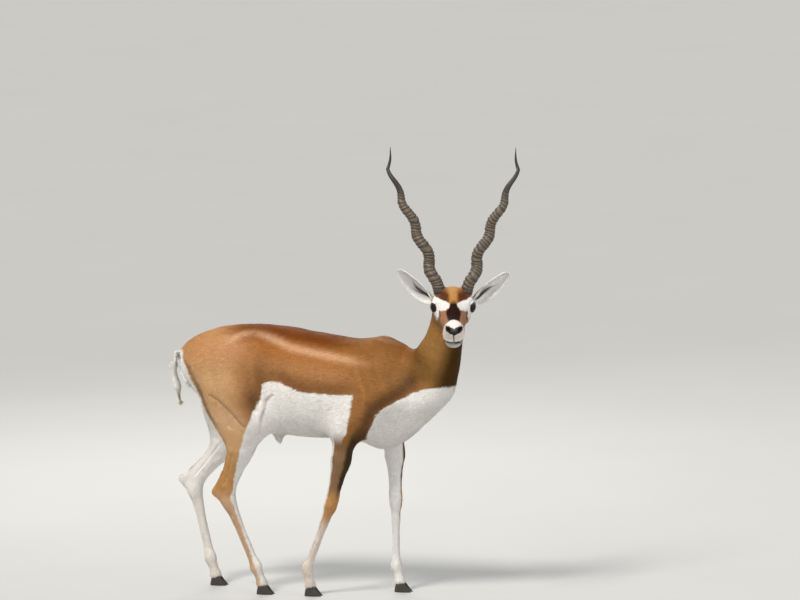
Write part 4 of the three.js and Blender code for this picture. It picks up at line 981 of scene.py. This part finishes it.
# Length, width and lift of the tufts in millimetres and degrees, and their number for each square cm
TUFTS = {
    "trunk": {"length": 13, "width": 1.5, "lift": 9, "count": 17},
    "neck": {"length": 13, "width": 1.4, "lift": 10, "count": 26},
    "upper": {"length": 9, "width": 1.2, "lift": 8, "count": 24},
    "lower": {"length": 6, "width": 0.9, "lift": 9, "count": 46},
    "face": {"length": 5, "width": 0.8, "lift": 10, "count": 70},
    "tail": {"length": 14, "width": 1.2, "lift": 6, "count": 80},
}
HOOF_TOP = 28
MOST_TUFTS = 66000


def tuft_kind(node):
    named = {"torso": "trunk", "neck": "neck", "tail": "tail", "head": "face"}
    return named.get(node, "upper" if is_upper(node) else "lower")


def bare_share(points):
    """1 where no hair grows: nose, lid rims, inside the mouth and the eyes."""
    h = to_head(to_body(points))
    bare = nose_pad(h)
    for side in (-1, 1):
        along, above, out, distance = eye_space(h, side)
        bare = np.maximum(bare, (lid_gap(along, above) > -2.2) * (distance < 29) * (out > 2))
        bare = np.maximum(bare, nostril_share(h, side) > -0.2)
    off = np.abs(h[:, 2] - mouth_height(h[:, 0]))
    bare = np.maximum(bare, (off < 1.4) * (h[:, 0] > MOUTH["corner"] - 3) * (np.abs(h[:, 1]) < 45))
    return bare


def triangle_sizes(points, triangles):
    """The middle and the area of each triangle."""
    a, b, c = (points[triangles[:, k]] for k in range(3))
    return (a + b + c) / 3, np.linalg.norm(np.cross(b - a, c - a), axis=1) / 2


def scatter(triangles, areas, count, draw):
    """count random places on the triangles, as a function that reads the mesh's values there."""
    chance = np.cumsum(areas)
    chosen = np.searchsorted(chance, draw.uniform(0, chance[-1], count))
    a, b = draw.uniform(size=(2, count))
    swap = a + b > 1
    a[swap], b[swap] = 1 - a[swap], 1 - b[swap]
    shares = np.stack([1 - a - b, a, b], axis=1)
    return lambda values: np.einsum("ij,ij...->i...", shares, values[triangles[chosen]])


def build_tufts(name, roots, normals, flow, length, width, lift, bake, material, draw):
    """A mesh of tufts: each is a blade of three triangles that rises, bends over and ends in a point."""
    count = len(roots)
    side = unit(np.cross(flow, normals))
    twist = draw.normal(0, 0.16, count)[:, None]
    flow = unit(flow + side * twist)
    side = unit(np.cross(flow, normals))
    length = (length * draw.uniform(0.75, 1.2, count) / 1000)[:, None]
    width = (width * draw.uniform(0.8, 1.25, count) / 1000)[:, None]
    rise = np.tan(np.radians(lift * draw.uniform(0.6, 1.4, count)))[:, None]
    start = roots - normals * 0.0004
    middle = roots + flow * length * 0.5 + normals * length * 0.5 * rise
    end = roots + flow * length + normals * length * rise * 0.62
    points = np.stack([start - side * width * 0.4, start + side * width * 0.4,
                       middle - side * width * 0.5, middle + side * width * 0.5, end], axis=1)
    corner = np.array([[0, 1, 3], [0, 3, 2], [2, 3, 4]])
    faces = (np.arange(count)[:, None, None] * 5 + corner[None]).reshape(-1, 3)
    mesh = bpy.data.meshes.new(name)
    mesh.vertices.add(count * 5)
    mesh.vertices.foreach_set("co", points.astype(np.float32).ravel())
    mesh.loops.add(len(faces) * 3)
    mesh.loops.foreach_set("vertex_index", faces.ravel().astype(np.int32))
    mesh.polygons.add(len(faces))
    mesh.polygons.foreach_set("loop_start", np.arange(0, len(faces) * 3, 3, dtype=np.int32))
    mesh.polygons.foreach_set("use_smooth", np.ones(len(faces), bool))
    mesh.update(calc_edges=True)
    colours = paint(roots + flow * length * 0.3)
    colours = colours * draw.normal(1, 0.07, count).clip(0.78, 1.22)[:, None]
    set_colour(mesh, np.repeat(np.clip(colours, 0, 1), 5, axis=0))
    # How far along each tuft a point is, which sets the painted shade that darkens the roots
    set_value(mesh, np.tile([0, 0, 0.6, 0.6, 1.0], count), "tip")
    leaning = unit(np.repeat(normals, 5, axis=0) + 0.22 * np.repeat(flow, 5, axis=0)
                   + 0.12 * np.repeat(side, 5, axis=0) * np.tile([-1, 1, -1, 1, 0], count)[:, None])
    set_vectors(mesh, leaning, "custom_normal")
    patch = np.array([[-0.5, -0.5], [0.5, -0.5], [-0.5, 0.2], [0.5, 0.2], [0, 0.5]]) * 0.003
    spots = (bake[:, None, :] * 0.99 + 0.005 + patch[None]).reshape(-1, 2)
    layer_uv = mesh.uv_layers.new(name="OFBake")
    layer_uv.data.foreach_set("uv", spots[faces.ravel()].astype(np.float32).ravel())
    mesh.materials.append(material)
    return new_object(name, mesh)


def bake_place(kind, points):
    """Where a root lies on the unwrap of its region: along it, and round its axis."""
    p = to_body(points)
    if kind == "trunk":
        along = (p[:, 0] + 430) / 900
        round_ = np.abs(np.degrees(np.arctan2(p[:, 1], p[:, 2] - 640))) / 180
        return np.stack([along, round_], axis=1)
    if kind == "neck":
        axis = unit(np.array([0.55, -0.18, 0.82]))
        offset = p - np.array([430, -30, 760])
        along = (offset @ axis + 190) / 380
        round_ = np.degrees(np.arctan2(offset @ unit(np.cross(axis, [0, 1, 0])), offset[:, 1])) / 360 + 0.5
        return np.stack([along, round_], axis=1)
    if kind == "face":
        h = to_head(p)
        round_ = np.degrees(np.arctan2(h[:, 1], h[:, 2] + 14)) / 360 + 0.5
        return np.stack([(h[:, 0] + 110) / 270, round_], axis=1)
    if kind == "tail":
        round_ = np.degrees(np.arctan2(p[:, 1], p[:, 0] + 410)) / 360 + 0.5
        return np.stack([(p[:, 2] - 520) / 260, round_], axis=1)
    forward, outward, hind = leg_space(p)
    return np.stack([p[:, 2] / 820, np.degrees(np.arctan2(outward, forward)) / 360 + 0.5], axis=1)


def coat_pieces():
    """Name of each coat piece, the kind of its tufts, its nodes and the side it is kept to."""
    yield "coat_trunk_right", "trunk", ["torso"], -1
    yield "coat_trunk_left", "trunk", ["torso"], 1
    yield "coat_neck", "neck", ["neck"], 0
    yield "coat_face_right", "face", ["head"], -1
    yield "coat_face_left", "face", ["head"], 1
    yield "coat_tail", "tail", ["tail"], 0
    for side in ("right", "left"):
        yield f"coat_forearm_{side}", "upper", [f"foreleg_{side}_forearm"], 0
        yield f"coat_fore_cannon_{side}", "lower", [f"foreleg_{side}_cannon"], 0
        yield f"coat_thigh_{side}", "upper", [f"hindleg_{side}_thigh"], 0
        yield f"coat_hind_cannon_{side}", "lower", [f"hindleg_{side}_shank", f"hindleg_{side}_cannon"], 0


def make_coat(skin_mesh, labels, material):
    points, triangles, edges = read_points(skin_mesh), read_triangles(skin_mesh), read_edges(skin_mesh)
    normals = point_normals(points, triangles)
    flow = lie_of_coat(points, normals, labels, edges)
    bare = bare_share(points)
    kinds = [TUFTS[tuft_kind(n)] for n in FLESH]
    length, width, lift = (spread(np.array([kind[key] for kind in kinds], float)[labels], edges, 10)
                           for key in ("length", "width", "lift"))
    length = length + CORONET_HAIR * ease(-to_body(points)[:, 2], -52, -40)
    middle, areas = triangle_sizes(points, triangles)
    middle = to_body(middle)
    height = middle[:, 2]
    body_side = np.where(middle[:, 1] < 0, -1, 1)
    head_side = np.where(to_head(middle)[:, 1] < 0, -1, 1)
    nearest = labels[triangles[:, 0]]
    for name, kind, nodes, side in coat_pieces():
        mine = np.isin(nearest, [FLESH.index(n) for n in nodes])
        if side:
            mine &= (head_side if kind == "face" else body_side) == side
        weight = areas * mine * (1 - bare[triangles].max(axis=1))
        if kind == "lower":
            weight = weight * (height > HOOF_TOP) * (1 + 2 * ease(-height, -52, -42))
        count = min(int(weight.sum() * 1e4 * TUFTS[kind]["count"]), MOST_TUFTS)
        draw = np.random.default_rng(len(name) * 31 + count)
        at_roots = scatter(triangles, weight, count, draw)
        roots = at_roots(points)
        piece = build_tufts(name, roots, unit(at_roots(normals)), unit(at_roots(flow)), at_roots(length),
                            at_roots(width), at_roots(lift), bake_place(kind, roots), material, draw)
        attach(piece, "root")


# Horns, ears, eyes and hooves

def horn_middle(side, t):
    out, coil = line(t, HORN_SPREAD), line(t, HORN_SPIRAL)
    angle = (t - HORN["first_turn"]) / HORN["turns_apart"] * 2 * math.pi
    lean = math.radians(HORN["lean"])
    rise = t * HORN["length"] - HORN["sink"]
    f = HORN["base_f"] - rise * math.sin(lean) + coil * np.cos(angle) * math.cos(lean)
    up = HORN["base_t"] + rise * math.cos(lean) + coil * np.cos(angle) * math.sin(lean)
    return np.stack([f, side * (out + coil * np.sin(angle)), up], axis=1)


def make_horn(side, name, material):
    rows, columns = 420, 44
    t = np.linspace(0, 1, rows + 1)
    angle = np.linspace(0, 2 * math.pi, columns, endpoint=False)
    middle = horn_middle(side, t)
    ahead = unit(np.gradient(middle, axis=0))
    across = unit(np.cross(ahead, [1.0, 0, 0]))
    over = np.cross(ahead, across)
    first, last = HORN["ringed_from"], HORN["ringed_to"]
    phase = (t - first) / (last - first) * HORN["rings"]
    ringed = ease(t, first - 0.02, first + 0.02) * ease(-t, -last - 0.05, -last + 0.06)
    slant = 0.26 * np.cos(angle) + 0.10 * np.sin(3 * angle + side)
    uneven = 0.30 * np.sin(phase * 0.83 + side) + 0.16 * np.sin(phase * 2.1 + 2)
    wave = np.mod((phase + uneven)[:, None] + slant, 1)
    ridge = ease(np.minimum(wave, 1 - wave), 0.03, 0.34) * ringed[:, None]
    height = HORN["ring_height"] * np.minimum(1, (1 - t) * 2) * (1 + 0.22 * np.sin(phase * 2.3 + 1.1))
    radius = line(t, HORN_RADIUS)[:, None] - 0.5 + ridge * height[:, None]
    radius = radius * (1 + 0.014 * np.sin(7 * angle + side * 2) * (1 - t)[:, None])
    around = across[:, None, :] * np.cos(angle)[:, None] + over[:, None, :] * np.sin(angle)[:, None]
    points = middle[:, None, :] + radius[:, :, None] * around
    piece = shell(name, from_head(points.reshape(-1, 3)), rows, columns, material,
                  {"ridge": ridge, "along": np.repeat(t, columns)})
    turns = [np.tile(part(angle) * 7, rows + 1) for part in (np.cos, np.sin)]
    set_vectors(piece.data, np.stack([np.repeat(t * 14, columns)] + turns, axis=1), "around")
    return piece


def ear_spine(side, t):
    a, b, c = (np.array([v[0], side * v[1], v[2]], float) for v in (EAR["root"], EAR["bend"], EAR["tip"]))
    c[2] += EAR["right_lift"] * (side < 0)
    b[2] -= EAR["sag"] * 2
    t = t[:, None]
    return (1 - t) ** 2 * a + 2 * t * (1 - t) * b + t * t * c, unit(2 * (1 - t) * (b - a) + 2 * t * (c - b))


def make_ear(side, name, material):
    """A rolled sheet, and at its points whether they are inside, how far across and up, and the axis."""
    rows, columns = 70, 26
    t = np.linspace(0, 1, rows + 1)
    spine, axis = ear_spine(side, t)
    half = np.interp(t, EAR_AT, EAR_HALF) - 0.5
    roll = np.radians(np.interp(t, EAR_AT, EAR_ROLL))
    hollow = np.interp(t, EAR_AT, EAR_HOLLOW)
    radius = half / np.sin(np.minimum(roll, math.pi / 2))
    thick = np.minimum(EAR["thick"], radius * 0.6)
    inner = radius * 0.12 * (1 - hollow) + (radius - thick) * hollow
    facing = np.tile(np.array([1.0, side * 0.05, -0.1]), (rows + 1, 1))
    facing = unit(facing - axis * np.sum(facing * axis, axis=1, keepdims=True))
    across = np.cross(axis, facing)
    middle = spine + facing * (radius * 0.55 - np.sin(t * math.pi) * 5)[:, None]
    u = np.linspace(-1, 1, columns + 1)
    ridges = 0.7 * np.cos(u * math.pi * 3) * (1 - u * u)

    def sheet(r, share, lift):
        angle = roll[:, None] * u[None, :] * share
        r = r[:, None] + lift
        return middle[:, None, :] + across[:, None, :] * (r * np.sin(angle))[:, :, None] \
            - facing[:, None, :] * (r * np.cos(angle))[:, :, None]

    outside = sheet(radius, 1.0, np.zeros((1, columns + 1)))
    inside = sheet(inner, 0.97, -ridges[None, :] * hollow[:, None])
    loop = np.concatenate([outside, inside[:, ::-1]], axis=1)
    around = loop.shape[1]
    piece = shell(name, from_head(loop.reshape(-1, 3)), rows, around, material)
    within = np.tile(np.repeat([0.0, 1.0], columns + 1), rows + 1)
    place = np.tile(np.concatenate([u, u[::-1]]), rows + 1)
    height = np.repeat(t, around)
    set_colour(piece.data, paint_ear(within, place, height))
    return piece, within, place, height, np.repeat(axis, around, axis=0) @ HEAD_AXES.T


def paint_ear(inside, place, height):
    colour = layer(EAR_INSIDE, inside > 0.5, plain(EAR_BACK, inside))
    bend = 0.10 * np.sin(height * 9)
    main = blob((place - 0.05 - bend) / 0.14) * ease(height, 0.08, 0.16) * ease(-height, -0.70, -0.50)
    colour = layer(EAR_DARK, np.clip(1.3 * main, 0, 1) * inside, colour)
    for lean, start in ((0.9, 0.22), (-1.0, 0.30), (0.8, 0.40), (-0.7, 0.16)):
        branch = blob((place - bend - lean * (height - start)) / 0.055) * ease(height, start, start + 0.05)
        colour = layer(EAR_DARK, 0.75 * branch * ease(-height, -start - 0.42, -start - 0.2) * inside, colour)
    colour = layer(WHITE, ease(np.abs(place), 0.84, 0.95), colour)
    grey = 0.12 * ease(height, 0.25, 0.6) * ease(-np.abs(place), -0.8, -0.5) * inside
    colour = layer(CHIN, grey, colour)
    colour = layer(WHITE, 0.6 * ease(-height, -0.3, -0.1) * (1 - inside), colour)
    return layer(EAR_DARK, 0.5 * ease(height, 0.94, 1.0) * (1 - inside), colour)


def ear_coat(piece, facts, name, material, side):
    """Short hair over the whole ear and longer pale hair inside its edges."""
    inside, place, height, axis = facts
    points, triangles = read_points(piece.data), read_triangles(piece.data)
    draw = np.random.default_rng(40 + side)
    low = height[triangles[:, 0]]
    weight = triangle_sizes(points, triangles)[1] * (low > 0.02) * (low < 0.985)
    at_roots = scatter(triangles, weight, EAR_TUFTS, draw)
    roots, up = at_roots(points), unit(at_roots(point_normals(points, triangles)))
    flow = at_roots(axis)
    flow = unit(flow - up * np.sum(flow * up, axis=1, keepdims=True))
    within, across, along = at_roots(inside), at_roots(place), at_roots(height)
    long = within * ease(np.abs(across), 0.35, 0.85) * ease(-along, -0.95, -0.6)
    bake = np.stack([along, (across + 1) / 4 + np.where(within > 0.5, 0.5, 0)], axis=1)
    coat = build_tufts(name, roots, up, flow, 3.6 + 4.5 * long, np.full(EAR_TUFTS, 0.8), 8 + 12 * long,
                       bake, material, draw)
    tone = draw.normal(1, 0.1, EAR_TUFTS).clip(0.7, 1.3)[:, None]
    rgba = np.ones((EAR_TUFTS * 5, 4), np.float32)
    rgba[:, :3] = np.repeat(np.clip(paint_ear(within, across, along) * tone, 0, 1), 5, axis=0)
    coat.data.color_attributes["coat"].data.foreach_set("color", rgba.ravel())
    return coat


def make_eye(side, name, material):
    """A ball with a low bulge over the pupil."""
    rows, columns = 40, 48
    front, above, look = eye_axes(side)
    tilt = np.linspace(0, math.pi, rows + 1)[:, None]
    angle = np.linspace(0, 2 * math.pi, columns, endpoint=False)[None, :]
    radius = EYE["radius"] - 0.35 + 0.9 * np.exp(-np.square(tilt / 0.5))
    out = np.cos(tilt) * np.ones_like(angle)
    along, up = np.sin(tilt) * np.cos(angle), np.sin(tilt) * np.sin(angle)
    points = eye_middle(side) + (out * radius)[:, :, None] * look \
        + (along * radius)[:, :, None] * front + (up * radius)[:, :, None] * above
    ring = np.clip(np.hypot(along * 0.75, up * 1.25) / 0.62, 0, 1)
    points = from_head(points.reshape(-1, 3))
    return shell(name, points, rows, columns, material, {"ring": ring}, pointed=True)


def make_hoof(node, material):
    """A claw in the box of its solid: flat below and along the cleft, pointed in front, sloping above."""
    low, high = (np.array(v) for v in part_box(node))
    outward = (-1 if "right" in node else 1) * (-1 if "inner" in node else 1)
    rows, columns = 18, 40
    angle = np.linspace(0, 2 * math.pi, columns, endpoint=False)
    ahead, across = np.cos(angle), np.sin(angle)
    length, width, height = high - low
    plan = across * (1 - 0.55 * np.clip(ahead, 0, 1) ** 1.6) * np.where(across * outward < 0, 0.72, 1.0)
    rings = []
    for row in range(rows + 1):
        share = row / rows
        front = high[0] - length * (0.50 * share ** 0.85)
        back = low[0] + length * (0.03 + 0.10 * share)
        groove = 0.012 * math.sin(share * 34) - 0.05 * max(0, 0.10 - share) / 0.10
        x = (front + back) / 2 + (front - back) / 2 * (1 + groove) * ahead
        y = (low[1] + high[1]) / 2 + width / 2 * (1 - 0.16 * share + groove) * plan
        z = low[2] + height * share * (1 - 0.30 * share * (1 - ahead) / 2)
        rings.append(np.stack([x, y, z], axis=1))
    return shell(node + "_shell", np.clip(np.concatenate(rings), low, high), rows, columns, material)


# Stage, light and camera

AZIMUTH, ELEVATION, ROLL = 20, 8, 1.5
MM_PER_PIXEL = 3.05
ORIGIN_PIXEL = (310, 592)
IMAGE_MIDDLE = (400, 300)
CAMERA_AWAY = 25.0
FLOOR_REACH = 40


def camera_axes():
    a, e, r = (math.radians(v) for v in (AZIMUTH, ELEVATION, ROLL))
    level = np.array([math.cos(a), math.sin(a), 0])
    upright = np.array([-math.sin(a) * math.sin(e), math.cos(a) * math.sin(e), math.cos(e)])
    back = np.array([math.sin(a) * math.cos(e), -math.cos(a) * math.cos(e), math.sin(e)])
    right = level * math.cos(r) - upright * math.sin(r)
    up = level * math.sin(r) + upright * math.cos(r)
    return level, back, right, up


def make_camera():
    level, back, right, up = camera_axes()
    du = IMAGE_MIDDLE[0] - ORIGIN_PIXEL[0]
    dv = IMAGE_MIDDLE[1] - ORIGIN_PIXEL[1]
    target = ORIGIN + (right * du - up * dv) * MM_PER_PIXEL / 1000
    data = bpy.data.cameras.new("camera")
    data.sensor_width = 36
    data.lens = 36 * CAMERA_AWAY / (800 * MM_PER_PIXEL / 1000)
    data.clip_end = 200
    camera = bpy.data.objects.new("camera", data)
    place = Matrix.Identity(4)
    for row in range(3):
        place[row][0], place[row][1], place[row][2] = right[row], up[row], back[row]
        place[row][3] = (target + back * CAMERA_AWAY)[row]
    camera.matrix_world = place
    bpy.context.scene.collection.objects.link(camera)
    bpy.context.scene.camera = camera
    return level, back


def make_light(name, place, target, size, power, colour):
    data = bpy.data.lights.new(name, "AREA")
    data.shape = "DISK"
    data.size = size
    data.energy = power
    data.color = colour
    lamp = bpy.data.objects.new(name, data)
    lamp.location = place
    lamp.rotation_euler = (Vector(target) - Vector(place)).to_track_quat("-Z", "Y").to_euler()
    bpy.context.scene.collection.objects.link(lamp)


def make_stage():
    material, nodes, shader = new_material("floor")
    place = add(nodes, "ShaderNodeTexCoord", "Object")
    grain = add(nodes, "ShaderNodeTexNoise", "Fac", {"Vector": place, "Scale": 1.5})
    feed(shader, {"Base Color": ramp(nodes, grain, FLOOR_TONES), "Roughness": 0.85})
    corners = [(x * FLOOR_REACH, y * FLOOR_REACH, 0) for x, y in ((-1, -1), (1, -1), (1, 1), (-1, 1))]
    mesh = mesh_from("floor", corners, [(0, 1, 2, 3)], smooth=False)
    mesh.materials.append(material)
    new_object("floor", mesh)
    world = bpy.data.worlds.new("studio")
    world.use_nodes = True
    feed(world.node_tree.nodes["Background"], {"Color": (0.86, 0.89, 0.93, 1), "Strength": 0.60})
    bpy.context.scene.world = world


def make_lights(level, back):
    target = ORIGIN + np.array([0.05, 0, 0.6])
    up = np.array([0, 0, 1.0])
    sun = bpy.data.lights.new("key", "SUN")
    sun.energy = 2.9
    sun.angle = math.radians(16)
    sun.color = (1.0, 0.965, 0.90)
    lamp = bpy.data.objects.new("key", sun)
    lamp.rotation_euler = Vector(level * 0.60 - back * 0.74 - up * 1.2).to_track_quat("-Z", "Y").to_euler()
    bpy.context.scene.collection.objects.link(lamp)
    make_light("fill", target + level * 3.2 + back * 2.6 + up * 1.2, target, 2.6, 40, (0.92, 0.96, 1.0))
    make_light("rim", target - level * 0.5 - back * 3.0 + up * 2.6, target, 2.0, 60, (1.0, 0.98, 0.95))


def build():
    ridges = hair_bump_group()
    skin_mesh, labels = make_skin()
    skin_mesh.materials.clear()
    skin_mesh.materials.append(coat_material("skin", ridges))
    set_colour(skin_mesh, paint(read_points(skin_mesh)) * 0.9)
    skin = new_object("skin", skin_mesh)
    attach(skin, "root")
    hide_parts(*FLESH)
    fur = coat_material("fur", roughness=0.58)
    make_coat(skin_mesh, labels, fur)
    ear_skin = coat_material("ear_skin", ridges)
    horn, hoof, eye = horn_material(), hoof_material(), eye_material()
    for side, word in ((-1, "right"), (1, "left")):
        piece, *facts = make_ear(side, f"ear_shell_{word}", ear_skin)
        hair = ear_coat(piece, facts, f"coat_ear_{word}", fur, side)
        for made, node, slot in ((piece, f"ear_{word}", "ear_coat"), (hair, None, "ear_coat"),
                                 (make_horn(side, f"horn_sheath_{word}", horn), f"horn_{word}", "horn"),
                                 (make_eye(side, f"eyeball_{word}", eye), f"eye_{word}", "eye")):
            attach(made, "root")
            if node:
                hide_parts(node)
    for node in sorted(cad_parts):
        if node.startswith("hoof_"):
            made = make_hoof(node, hoof)
            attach(made, "root")
            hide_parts(node)


build()
level, back = make_camera()
make_stage()
make_lights(level, back)
bpy.context.scene.view_settings.view_transform = "Standard"
